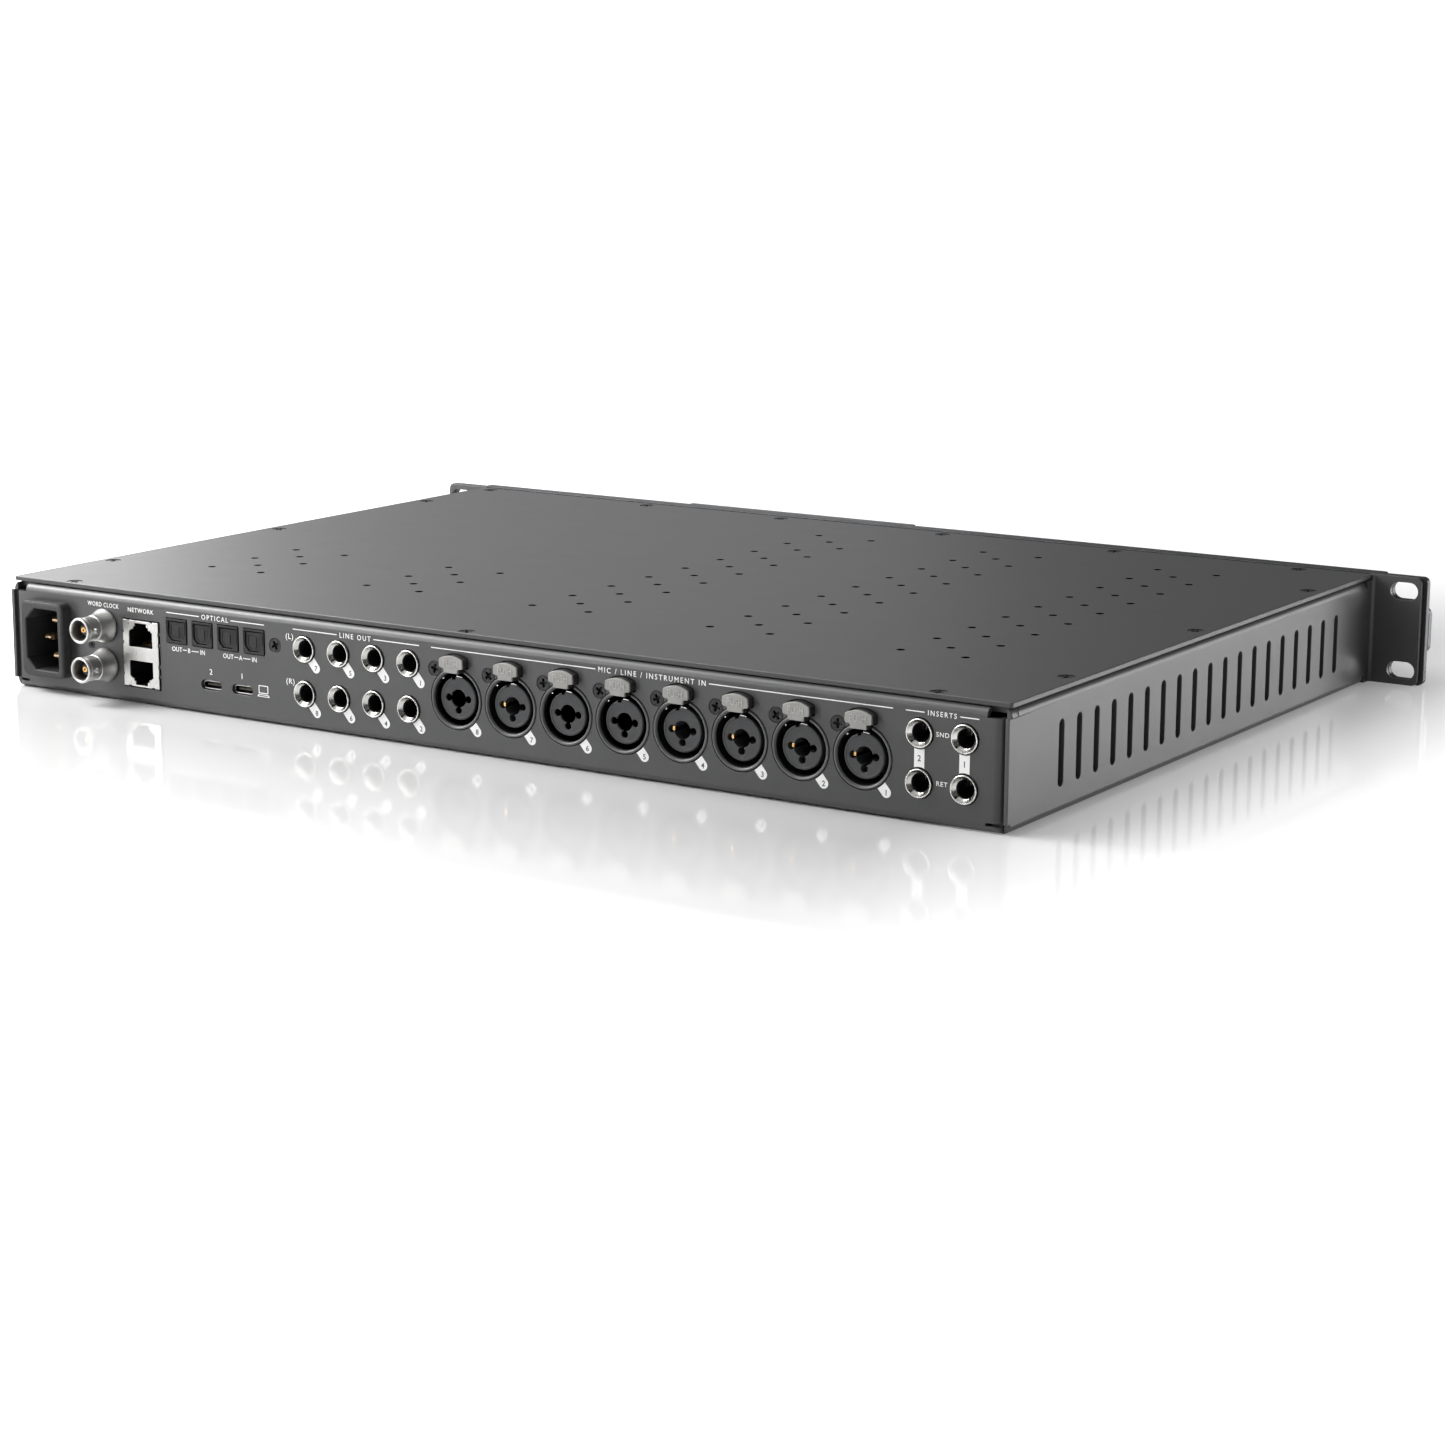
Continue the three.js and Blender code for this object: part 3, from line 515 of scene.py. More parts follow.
SATIN = plated("satin nickel", (0.62, 0.615, 0.60), 0.40)
GOLD = plated("gold flash", (0.80, 0.50, 0.20), 0.28)
BLADE = plated("inlet blade", (0.46, 0.34, 0.20), 0.34)
SHELL = plated("small socket shell", (0.40, 0.40, 0.39), 0.3)
KNOB_METAL = plated("turned aluminium", (0.20, 0.20, 0.21), 0.3)
POWER_METAL = plated("bead-blasted cap", (0.42, 0.42, 0.43), 0.36, 0.004)
BUTTON = moulded("button cap", (0.030, 0.030, 0.032), 0.38, 0.25, 0.01)
LIGHT_PIPE = moulded("unlit light guide", (0.42, 0.43, 0.42), 0.22, 0.6, 0.002)
DISPLAY = moulded("display module", (0.010, 0.012, 0.013), 0.25, 0.5, 0.004)
BLACK = moulded("black moulded plastic", (0.010, 0.010, 0.011), 0.42)
DEEP_BLACK = moulded("black insulator", (0.006, 0.006, 0.006), 0.6, specular=0.25)
CORE = moulded("socket core", (0.045, 0.046, 0.048), 0.55, 0.3, 0.02, 0.8)
RING = moulded("socket ring", (0.10, 0.10, 0.10), 0.34, 0.4, 0.006)
DARK = moulded("dark moulded plastic", (0.012, 0.012, 0.013), 0.45)
OPTICAL = moulded("optical socket", (0.020, 0.020, 0.021), 0.55, 0.3, 0.006, specular=0.3)
INLET_PLASTIC = moulded("inlet housing", (0.030, 0.030, 0.031), 0.5, 0.3, 0.01, specular=0.4)
# Lighter than the tab: painted highlight on the raised letters.
TAB_WORD = moulded("release tab, raised word", (0.46, 0.455, 0.44), 0.4, 0.5, 0.004)
# Release tab, with painted shade on its sides.
TAB = moulded("release tab", (0.29, 0.285, 0.27), 0.42, 0.5, 0.01, cap=TAB_CAP)
SCREW = moulded("blackened screw", (0.014, 0.014, 0.015), 0.36, 0.6, 0.002, specular=0.35)
FRONT_BOARD = moulded("front board mask", (0.008, 0.05, 0.02), 0.4)
WINDOW = smoked_window("smoked window")
WHITE_INK = ink("white print", (0.90, 0.90, 0.89))
BLACK_INK = ink("black print", (0.012, 0.012, 0.013))
BOARD = populated_board("solder mask", drawn("main_board")[0].z + 1.6)

# ---- Places on the rear panel ----

COMBO_X = row("combo_jack", 8)
COMBO_Z = drawn("combo_jack_1")[0].z + 12.6
LINE_X = row("line_out_jack", 4)
INSERT_X = row("insert_jack", 2)
PAIR_Z = (MID + 8.35, MID - 8.35)
OPTICAL_X = row("optical_jack", 4)
OPTICAL_Z = MID + 8.6
USB_X = row("usb_c_jack", 2)
USB_Z = middle("usb_c_jack_1").z
BNC = [middle(f"bnc_jack_{n}") for n in (1, 2)]
NETWORK = middle("network_jack")
INLET = middle("iec_inlet")
INLET_SIZE = drawn("iec_inlet")[1] - drawn("iec_inlet")[0]

# Screws: (x, z, radius of the head).
PANEL_SCREWS = [(x + 9.6, COMBO_Z + 10.0, 2.7) for x in COMBO_X]
PANEL_SCREWS += [(85.4, MID + 8.3, 2.7), (177.4, MID - 1.1, 1.5)]
COVER_SCREWS = [(x, -300.2, 2.9) for x in (-190.5, 0.8, 190.5)]        # drawn along Y, as for upturned()
COVER_SCREWS += [(side * 213.4, -y, 2.9) for side in (-1, 1) for y in (51, 153, 254.5)]
COVER_SCREWS += [(x, -6.0, 2.9) for x in (-190.5, -109.3, -28.5, 52.3, 123.4, 211)]
BOARD_POSTS = [
    (-205, 130), (-205, 270), (5, 130), (5, 270),
    (26, 40), (138, 40), (26, 270), (138, 270),
    (158, 157), (206, 157), (158, 255), (206, 255),
]

# ---- Sheet metal ----

VENT_STEP = 12.923             # between the slots of a side wall
VENTS_START = 36.06


def tray_section():
    """Bottom, walls and inward flanges in (x, z), with round bends."""
    centre, inner, flange, high = HALF - BEND, BEND - SHEET, HALF - 12, FLANGE_TOP - BEND
    return both_sides(arc(centre, BEND, BEND, -90, 0) + arc(centre, high, BEND, 0, 90)
                      + [(flange, FLANGE_TOP), (flange, FLANGE_TOP - SHEET)]
                      + arc(centre, high, inner, 90, 0) + arc(centre, BEND, inner, 0, -90))


def ear():
    """The ear on the +X side: a short wall that bends outward, with round outer corners."""
    tight, start = 1.5, 5.5
    x = HALF + tight
    plan = ([(HALF - SHEET, start)] + arc(x, tight, tight + SHEET, 180, 270)
            + [(EAR_EDGE, -SHEET), (EAR_EDGE, 0)] + arc(x, tight, tight, 270, 180) + [(HALF, start)])
    outline = round_rect(0, MID, 2 * EAR_EDGE, COVER_TOP - 0.2, 2.5)
    solid = overlap(prism(plan, 0.1, COVER_TOP, "z"), prism(outline, -20, 20))
    return cut(solid, block(-HALF - GAP, HALF + GAP, 0, 20, FLANGE_TOP, COVER_TOP + 1))


def rack_slots(y0, y1):
    slots = [obround(x, MID + z, 11.4, 7.1) for x in (-SLOT_X, SLOT_X) for z in (-SLOT_Z, SLOT_Z)]
    return prisms(slots, y0, y1)


def chassis_tray():
    tray = prism(tray_section(), 4.6, WALL_END)
    floor = block(-HALF + 5.4, HALF - 5.4, -SHEET, 6.1, 0, SHEET)
    lip = block(-205, 205, -SHEET, 0, 0, 6)
    one = ear()
    other = moved(copied(one), Matrix.Scale(-1, 4, (1, 0, 0)))
    weld(tray, floor, lip, other, one)
    weld(tray, *[block(s * HALF, s * (HALF - 1.5), WALL_END - 4, REAR - 0.1, 3.5, 38.3) for s in (-1, 1)])
    sliced(tray, "y", [VENTS_START + VENT_STEP * (i - 0.5) for i in range(0, 20, 2)] + [WALL_END])
    reliefs = [block(s * 213, s * 220, 4.6, 6.1, z0, z1)
               for s in (1, -1) for z0, z1 in ((-1, 3.2), (38.6, FLANGE_TOP + 1))]
    vents = [obround(VENTS_START + VENT_STEP * i, MID - 1, 3.7, 22.8) for i in range(19)]
    cut(tray, joined(reliefs), prisms(vents, -230, 230, "x"), rack_slots(-20, 20))
    cut(tray, block(-HALF + 2.2, HALF - 2.2, 289.7, REAR, -1, SHEET + 1),
        block(-HALF + SHEET, HALF - SHEET, 301, REAR, 30, COVER_TOP))
    weld(tray, block(-200, 200, 278, 284, 1, 2 * SHEET + GAP),
         block(-200, 200, 278, 301, SHEET + GAP, 2 * SHEET + GAP))
    posts = [lathe(rectangle(0, 2.6, 1, 4.7), x, -y, 6) for x, y in BOARD_POSTS]
    return weld(tray, upturned(joined(posts)))


def tab_outline(x, grow):
    """Outline of the release tab's crowned head and narrow neck in (x, z)."""
    z, side, crown = COMBO_Z, 5.2 + grow, 1.35
    top = [(x - (side - 0.15) * i / 7, z + 14.75 + grow + crown * (1 - (i / 7) ** 2)) for i in range(-7, 8)]
    return ([(x - 3.1 - grow, z + 9.8), (x + 3.1 + grow, z + 9.8), (x + 3.1 + grow, z + 10.9 - grow)]
            + arc(x + 3.7 + grow, z + 10.9 - grow, 0.6, 180, 90, 3)
            + arc(x + side - 0.9, z + 12.4 - grow, 0.9, -90, 0, 5) + top
            + arc(x - side + 0.9, z + 12.4 - grow, 0.9, 180, 270, 5)
            + arc(x - 3.7 - grow, z + 10.9 - grow, 0.6, 90, 0, 3))


def rear_openings():
    """Cutters for every opening of the rear panel, in two groups that don't touch one another."""
    holes = [circle(x, COMBO_Z, 11.3, 72) for x in COMBO_X]
    holes += [circle(x, z, 5.18) for x in LINE_X + INSERT_X for z in PAIR_Z]
    holes += [circle(place.x, place.z, 5.2) for place in BNC]
    holes += [round_rect(x, OPTICAL_Z, 10.5, 9.8, 0.5, 3) for x in OPTICAL_X]
    holes += [obround(x, USB_Z, 10, 3.8) for x in USB_X]
    holes.append(round_rect(NETWORK.x, NETWORK.z, 18.8, 26.5, 0.5, 3))
    holes.append(round_rect(INLET.x, INLET.z, INLET_SIZE.x - 2, INLET_SIZE.z - 2, 0.8, 3))
    notches = [tab_outline(x, 0.3) for x in COMBO_X]
    return [prisms(outlines, WALL_END - 1, REAR + 1) for outlines in (holes, notches)]


def countersinks(places, surface):
    """Cutters for countersunk screws along Y, for places (x, z, head radius, bore)."""
    return joined([lathe([(0, 1), (radius + 0.15, 1), (radius + 0.15, -0.25), (bore, -0.25 - (radius - bore)),
                          (bore, -6), (0, -6)], x, z, 40, base=surface) for x, z, radius, bore in places])


def rear_panel():
    front, inner = 292, BEND - SHEET
    low, high = 0.1 + BEND, FLANGE_TOP - BEND
    y = REAR - BEND
    web = ([(front, 0.1)] + arc(y, low, BEND, -90, 0) + arc(y, high, BEND, 0, 90)
           + [(front, FLANGE_TOP), (front, FLANGE_TOP - SHEET)]
           + arc(y, high, inner, 90, 0) + arc(y, low, inner, 0, -90) + [(front, 0.1 + SHEET)])
    end = HALF - SHEET - GAP
    plan = both_sides(arc(end - BEND, y, inner, 90, 0) + [(end - SHEET, front), (end, front)]
                      + arc(end - BEND, y, BEND, 0, 90))
    foot = overlap(prism(web, -end, end, "x"), prism(plan, -1, 2.5, "z"))
    panel = weld(prism(web, -211.4, 211.4, "x"), prism(plan, 3.5, 38, "z"), foot)
    between = [x + 11.9 for x in COMBO_X] + [x + 8 for x in LINE_X] + [OPTICAL_X[1] + 6.3, 139, 162, 182]
    sliced(panel, "x", between)
    room = [block(205 * s, 216 * s, 280, 302.4, FLANGE_TOP - 2.4, COVER_TOP) for s in (-1, 1)]
    sinks = countersinks([(x, z, radius, radius * 0.55) for x, z, radius in PANEL_SCREWS], REAR)
    return cut(panel, joined(room), *rear_openings(), sinks)


def vent_places():
    """Round vents of the cover: the corners and centre of a square, repeated along Y."""
    places = []
    for column in range(-2, 3):
        for line in range(5 if column > 0 else 17):
            for offset in ((0,) if line % 2 else (-12.7, 12.7)):
                places.append((0.4 + 78.65 * column + offset, 244 - 12.85 * line))
    return places


def top_cover():
    edge = 0.2
    place, size = middle("top_cover"), COVER[1] - COVER[0]
    outline = round_rect(0, place.y, size.x, size.y, 1)
    inset = round_rect(0, place.y, size.x - 2 * edge, size.y - 2 * edge, 1 - edge)
    sheet = layered(((inset, COVER_LOW), (outline, COVER_LOW + edge),
                     (outline, COVER_TOP - edge), (inset, COVER_TOP)))
    sliced(sheet, "x", [x - 39.3 for x in (-78.25, 0.4, 79.05, 157.7)])
    sliced(sheet, "y", (25, 57.7, 96.2, 134.8, 173, 212, 248))
    vents = prisms([circle(x, y, 1.6, 28) for x, y in vent_places()], COVER_LOW - 1, COVER_TOP + 1, "z")
    sinks = countersinks([(x, z, radius, 1.7) for x, z, radius in COVER_SCREWS], COVER_TOP)
    return cut(sheet, vents, upturned(sinks))


def screw_solid(radius):
    """A countersunk screw along Y, its flat head at y = -0.2, with a cross recess."""
    bore = radius * 0.5
    neck = -0.45 - (radius - bore)
    head = lathe([(0, -0.2), (radius - 0.15, -0.2), (radius, -0.32), (radius, -0.45), (bore, neck),
                  (bore, neck - 1.6), (0, neck - 1.6)], 0, 0, 40)
    arm, width = radius * 0.62, radius * 0.17
    cross = [(-arm, -width), (-width, -width), (-width, -arm), (width, -arm), (width, -width), (arm, -width),
             (arm, width), (width, width), (width, arm), (-width, arm), (-width, width), (-arm, width)]
    dimple = lathe([(0, 0), (radius * 0.34, 0), (radius * 0.2, -radius * 0.55), (0, -radius * 0.7)], 0, 0, 16)
    return cut(head, prism(cross, -radius * 0.55, 0), dimple)


def screws(places, surface):
    """Screws for places (x, z, head radius), each turned a little further, as one piece."""
    return joined([placed(screw_solid(radius), x, surface, z, -37 * i)
                   for i, (x, z, radius) in enumerate(places)])


finish(chassis_tray(), "tray_shell", PAINT, "chassis_tray", 0.2)
finish(rear_panel(), "rear_panel_sheet", PANEL_PAINT, "rear_panel", 0.15)
finish(top_cover(), "cover_sheet", COVER_PAINT, "top_cover", 0)
finish(upturned(screws(COVER_SCREWS, COVER_TOP)), "cover_screws", SCREW)
finish(screws(PANEL_SCREWS, REAR), "panel_screws", SCREW)

# ---- Combined inputs ----

FACE = 0.3                     # a combined input's front, from the panel's outer face
COMBO_FACE = REAR + FACE
CORE_FACE = COMBO_FACE - 1.4


def tab_room(x):
    """The way in for the release tab's stem, and the wider space above it for the head."""
    return [block(x - half, x + half, BEHIND - 9, COMBO_FACE + 1, COMBO_Z + z, COMBO_Z + 20)
            for half, z in ((3.6, 9.0), (5.7, 11.0))]


def combo_body(x):
    """Housing behind the panel, and the dark wall of the annular space."""
    z = COMBO_Z
    body = weld(block(x - 11.7, x + 11.7, BEHIND - 27, BEHIND, z - 12.6, z + 12.2),
                lathe(rectangle(0, 10.7, BACK - 1, FACE - 0.9), x, z, 96, base=REAR))
    space = lathe([(0, -25), (7.95, -25), (7.95, -14), (9.7, -14), (9.7, 1), (0, 1)],
                  x, z, 96, base=COMBO_FACE)
    return cut(body, space, *tab_room(x))


def combo_ring(x):
    """Thin grey ring that shows in the panel's opening."""
    back = BACK + 0.2 - FACE
    ring = lathe([(11, back), (11, -0.35), (10.85, -0.1), (10.55, 0), (10.3, -0.05), (9.95, -0.35),
                  (9.75, -0.85), (10.75, -0.85), (10.75, back)], x, COMBO_Z, 96, True, COMBO_FACE)
    return cut(ring, *tab_room(x))


def combo_core(x):
    """Core with a plug bore, three contact holes beside it, and a keyway at the top."""
    turned = partial(lathe, base=CORE_FACE)
    core = turned([(0, -22), (7.85, -22), (7.85, -0.5), (7.68, -0.14), (7.3, 0), (6.95, 0), (6.88, -0.13),
                   (0, -0.13)], x, COMBO_Z, 96)
    bore = turned([(0, -20), (3.2, -20), (3.2, -0.4), (3.9, 1), (0, 1)], x, COMBO_Z, 48)
    lobes = [turned([(0, -11), (1.3, -11), (1.3, -0.35), (1.9, 1), (0, 1)], x + u, COMBO_Z + v, 32)
             for u, v in ((-4.3, 0), (4.3, 0), (0, -4.3))]
    keyway = placed(block(6.9, 8.4, CORE_FACE - 23, CORE_FACE + 1, -0.8, 0.8), x, 0, COMBO_Z, 75)
    return cut(core, bore, *lobes, keyway)


def combo_contacts(x):
    """Gilt contact leaves down the outer side of the three holes."""
    leaf = arc(4.3, 0, 1.24, -55, 55) + arc(4.3, 0, 0.95, 55, -55)
    pin = round_rect(4.3, 0, 0.9, 1.5, 0.3, 3)
    return joined([placed(prism(outline, CORE_FACE - 10.5, CORE_FACE - end), x, 0, COMBO_Z, turn)
                   for outline, end, turn in ((leaf, 3.2, 180), (leaf, 3.2, 270), (pin, 1.3, 0))])


def ground_tabs(x):
    """Plated spring that shows at the top of the core, and a smaller one on the ring's inner wall."""
    strip = arc(x, COMBO_Z, 8.2, 87, 104) + arc(x, COMBO_Z, 7.9, 104, 87)
    bead = arc(x, COMBO_Z, 9.6, 45, 49, 3) + arc(x, COMBO_Z, 9.1, 49, 45, 3)
    return joined([prism(strip, CORE_FACE - 9, CORE_FACE + 0.15),
                   prism(bead, CORE_FACE - 9, CORE_FACE + 0.2)])


def combo_latch(x):
    """Release tab: a crowned head on a narrow stem that reaches into the ring."""
    head = prism(tab_outline(x, 0), REAR - 2.2, REAR + 3.35)
    return weld(head, block(x - 2.9, x + 2.9, REAR - 9, REAR - 2, COMBO_Z + 9.9, COMBO_Z + 11.6))


def lettering(text, size, thickness, width, weight, spacing):
    """Words as solids standing on the plane y = 0, read from +Y, centred on the origin."""
    curve = bpy.data.curves.new("words", "FONT")
    curve.body = text
    curve.size = size
    curve.align_x, curve.align_y = "CENTER", "CENTER"
    curve.extrude = thickness / 2
    curve.offset = weight
    curve.space_character = spacing
    curve.resolution_u = 3
    source = new_object(curve)
    obj = new_object(evaluated_mesh(source))
    bpy.data.objects.remove(source)
    with edited(obj.data) as work:
        bmesh.ops.remove_doubles(work, verts=work.verts, dist=1e-5)
    moved(obj, Matrix(((-width, 0, 0, 0), (0, 0, 1, thickness / 2), (0, 1, 0, 0), (0, 0, 0, 1))))
    across, _, upright = zip(*(v.co for v in obj.data.vertices))
    return placed(obj, -(min(across) + max(across)) / 2, 0, -(min(upright) + max(upright)) / 2)


def latch_word(x):
    return placed(lettering("PUSH", 3.6, 0.2, 0.72, 0.0, 1.05), x, REAR + 3.3, COMBO_Z + 13.45)


for n, x in enumerate(COMBO_X, 1):
    latch = f"latch_{n}"
    finish(combo_body(x), f"combo_body_{n}", DEEP_BLACK, f"combo_jack_{n}", 0.06)
    finish(combo_ring(x), f"combo_ring_{n}", RING, bevel=0.06)
    finish(combo_core(x), f"combo_core_{n}", CORE, bevel=0.06)
    finish(combo_contacts(x), f"combo_contacts_{n}", GOLD, bevel=0.04)
    finish(ground_tabs(x), f"combo_ground_{n}", NICKEL, bevel=0.06)
    finish(combo_latch(x), f"release_tab_{n}", TAB, f"combo_latch_{n}", 0.25, 3, latch)
    finish(latch_word(x), f"release_word_{n}", TAB_WORD, bevel=0, body=latch)

# ---- 6.35 mm sockets ----


def pair_body(x):
    body = bar(x, MID, 15, 29.4, BEHIND - 22, BEHIND)
    weld(body, *[prism(circle(x, z, 3.75), BEHIND - 1, REAR - 0.9) for z in PAIR_Z])
    cut(body, *[lathe([(0, BACK - 19), (3.15, BACK - 19), (3.15, -1.2), (3.5, -0.8), (3.5, 1), (0, 1)],
                      x, z, 48, base=REAR) for z in PAIR_Z])
    ribs = [block(x - 2.2, x - 1.6, BEHIND - 16, REAR - 3.2, z - 3.3, z - 2.2) for z in PAIR_Z]
    leaves = [block(x - 0.9, x + 0.9, BEHIND - 14, REAR - 4, z + 2.2, z + 3.3) for z in PAIR_Z]
    return weld(body, *ribs, *leaves)


def pair_nuts(x):
    """Plated rings with a coned mouth and three small notches."""
    profile = [(4.88, BACK + 0.2), (4.88, 0.55), (4.84, 0.68), (4.74, 0.77), (4.6, 0.8), (4.48, 0.77),
               (4.4, 0.68), (4.3, 0.5), (3.4, -0.62), (3.3, -0.7), (3.3, -0.85), (3.8, -0.86),
               (3.8, BACK + 0.2)]
    return joined([cut(lathe(profile, x, z, 96, True, REAR),
                       *[placed(block(3.2, 4.3, REAR - 1.5, REAR + 1, -0.42, 0.42), x, 0, z, turn)
                         for turn in (-45, -125, 90)]) for z in PAIR_Z])


def pair_springs(x):
    """Contact springs that show deep in each bore."""
    return joined([bar(x + u, z, 0.6, 1.8, REAR - 15, REAR - 9) for z in PAIR_Z for u in (-2.6, 2.6)])


for kind, places in (("line_out", LINE_X), ("insert", INSERT_X)):
    for n, x in enumerate(places, 1):
        name = f"{kind}_{n}"
        finish(pair_body(x), f"{name}_body", BLACK, f"{kind}_jack_{n}", 0.06)
        finish(pair_nuts(x), f"{name}_nuts", NICKEL, bevel=0)
        finish(pair_springs(x), f"{name}_springs", NICKEL)

# ---- Optical and computer sockets ----


def cornered(x, width, z0, z1, corner, y0, y1):
    """A block whose two lower corners are cut off."""
    a, b = width / 2, width / 2 - corner
    side = z0 + corner
    return prism([(x - b, z0), (x + b, z0), (x + a, side), (x + a, z1), (x - a, z1), (x - a, side)], y0, y1)


def optical_jack(x):
    z = OPTICAL_Z
    body = weld(block(x - 5.9, x + 5.9, BEHIND - 15, BEHIND, z - 5.4, z + 5),
                bar(x, z, 9.9, 9.2, BEHIND - 1, REAR + 0.4))
    grooves = joined([bar(x + u, z + 1.2, 0.24, 5.4, REAR - 0.1, REAR + 1) for u in (-4.45, 4.45)])
    return cut(body, cornered(x, 8.1, z - 3.8, z + 3.9, 1.9, REAR - 10.5, REAR + 2), grooves)


def optical_shutter(x):
    z, y = OPTICAL_Z, REAR - 0.5
    hinge = z + 3.1
    flap = weld(cornered(x, 7.5, z - 3.5, hinge, 1.7, y - 0.45, y + 0.4),
                prism(circle(y, hinge, 0.45, 20), x - 3.75, x + 3.75, "x"))
    cut(flap, cornered(x, 5.6, z - 2.9, z + 2.3, 1.4, y + 0.22, y + 1))
    return weld(flap, cornered(x, 4.9, z - 2.6, z + 2.0, 1.2, y + 0.1, y + 0.36),
                prism(round_rect(x, z - 0.2, 2.3, 4.0, 0.25, 3), y + 0.2, y + 0.62))


def usb_shell(x):
    shell = prism(obround(x, USB_Z, 9.4, 3.2), BEHIND - 8, REAR - 1.0)
    return cut(shell, prism(obround(x, USB_Z, 8.7, 2.5), REAR - 7, REAR + 2))


def usb_tongue(x):
    tongue = bar(x, USB_Z, 6.6, 0.7, REAR - 6.9, REAR - 1.9)
    return weld(tongue, prism(obround(x, USB_Z, 8.5, 2.3), REAR - 6.9, REAR - 5.6))


def usb_pads(x):
    return joined([bar(x + (i - 3.5) * 0.75, USB_Z + v, 0.4, 0.1, REAR - 5, REAR - 2.8)
                   for i in range(8) for v in (-0.38, 0.38)])


for n, x in enumerate(OPTICAL_X, 1):
    finish(optical_jack(x), f"optical_socket_{n}", OPTICAL, f"optical_jack_{n}", 0.1)
    finish(optical_shutter(x), f"optical_flap_{n}", OPTICAL, f"optical_shutter_{n}", 0.08,
           body=f"shutter_{n}")
for n, x in enumerate(USB_X, 1):
    finish(usb_shell(x), f"usb_c_shell_{n}", SHELL, f"usb_c_jack_{n}", 0.08)
    finish(usb_tongue(x), f"usb_c_tongue_{n}", BLACK)
    finish(usb_pads(x), f"usb_c_pads_{n}", GOLD, bevel=0)

# ---- Clock sockets ----


def bnc_shell(x, z):
    """Flange and cone against the panel, a grooved barrel with two lugs, and a thin lip."""
    shell = lathe([(0, BACK - 1), (4.9, BACK - 1), (4.9, 0.3), (6.5, 0.3), (6.6, 0.45), (6.6, 0.8),
                   (6.45, 1.2), (6.0, 2.2), (5.55, 3.4), (5.2, 4.6), (5.0, 5.8), (4.9, 6.6), (4.55, 6.75),
                   (4.55, 7.2), (4.75, 7.35), (4.75, 12.0), (4.6, 12.15), (4.6, 12.45), (4.95, 12.6),
                   (5.0, 13.5), (4.85, 13.85), (4.6, 14), (4.2, 14), (3.95, 13.7), (3.8, 13.0), (3.8, 5),
                   (0, 5)], x, z, 96, base=REAR)
    lug = lathe([(0, 3.9), (1, 3.9), (1, 5.8), (0.75, 6.08), (0, 6.1)], 0, 0, 24)
    other = copied(lug)
    for obj, turn in ((lug, 90), (other, -90)):
        moved(obj, Matrix.Translation((x, REAR + 10, z)) @ Matrix.Rotation(math.radians(turn), 4, "Z"))
    return weld(shell, lug, other, bar(x, z, 13, 13.2, BEHIND - 16, BEHIND))


def bnc_insulator(x, z):
    return lathe([(0, 5.05), (3.75, 5.05), (3.75, 8.2), (2.3, 8.2), (2.3, 10.6), (2.1, 10.8), (1.2, 10.8),
                  (1.2, 9), (0, 9)], x, z, base=REAR)


def bnc_contact(x, z):
    return lathe([(0, 9.05), (1.1, 9.05), (1.1, 11.3), (0.95, 11.5), (0.55, 11.5), (0.45, 11.2), (0.45, 9.6),
                  (0, 9.6)], x, z, 40, base=REAR)


for n, (x, _, z) in enumerate(BNC, 1):
    finish(bnc_shell(x, z), f"clock_socket_{n}", SATIN, f"bnc_jack_{n}", 0)
    finish(bnc_insulator(x, z), f"clock_insulator_{n}", DARK)
    finish(bnc_contact(x, z), f"clock_contact_{n}", GOLD, bevel=0)

# ---- Network sockets ----

PORTS = ((MID + 3.9, 1), (MID - 8.2, -1))


def port_mouths(grow, y0):
    """Cutters for the two ports: a wide box with a stepped notch for the plug's latch."""
    a, b, c, d = 5.85 + grow, 3.4 + grow, 3.9 + grow, 3.0 + grow
    mouth = both_sides([(a, -b), (a, b - 0.6), (a - 0.7, b - 0.6), (a - 0.7, b), (c, b), (c, b + 1.1),
                        (d, b + 1.1), (d, b + 2.5)])
    mouths = [[(NETWORK.x + u, centre + up * v) for u, v in mouth] for centre, up in PORTS]
    return prisms(mouths, y0, REAR + 2)


def network_block(inset, front):
    """A block inside the network socket's box, smaller by inset at each side and by front at its face."""
    low, high = drawn("network_jack")
    return block(low.x + inset, high.x - inset, low.y + inset, high.y - front, low.z + inset, high.z - inset)


def network_shield():
    low, high = drawn("network_jack")
    shell = cut(network_block(0, 0), network_block(0.5, 0.6))
    side_slots = [bar(NETWORK.x + u, z, 1, 1.2, REAR - 0.4, REAR + 2)
                  for u in (-9.1, 9.1) for z in (MID + 6.2, MID + 2, MID - 6.2, MID - 10.2)]
    end_slots = [bar(NETWORK.x + u, z, 1.4, 0.8, REAR - 0.4, REAR + 2)
                 for u in (-5.8, 5.8) for z in (low.z, high.z)]
    return cut(shell, port_mouths(0, REAR - 3), joined(side_slots), joined(end_slots))


def network_liner():
    return cut(network_block(0.6, 0.7), port_mouths(0.05, REAR - 13))


def network_pins():
    """Eight gilt springs that slope up from the flat side of each port."""
    pins = []
    for centre, up in PORTS:
        slope = [(REAR - y, centre - up * v) for y, v in ((12.5, 1.0), (12.5, 0.7), (4.2, 2.95), (4.2, 3.25))]
        for i in range(8):
            x = NETWORK.x + (i - 3.5) * 1.02
            pins.append(prism(slope, x - 0.2, x + 0.2, "x"))
    return joined(pins)


finish(network_shield(), "network_shield", SHIELD, "network_jack", 0.1)
finish(network_liner(), "network_liner", DEEP_BLACK)
finish(network_pins(), "network_pins", GOLD, bevel=0)

# ---- Mains inlet ----

BLADES = [(INLET.x + u, INLET.z + v) for u, v in ((-1.6, 7), (-1.6, -7), (2.4, 0))]


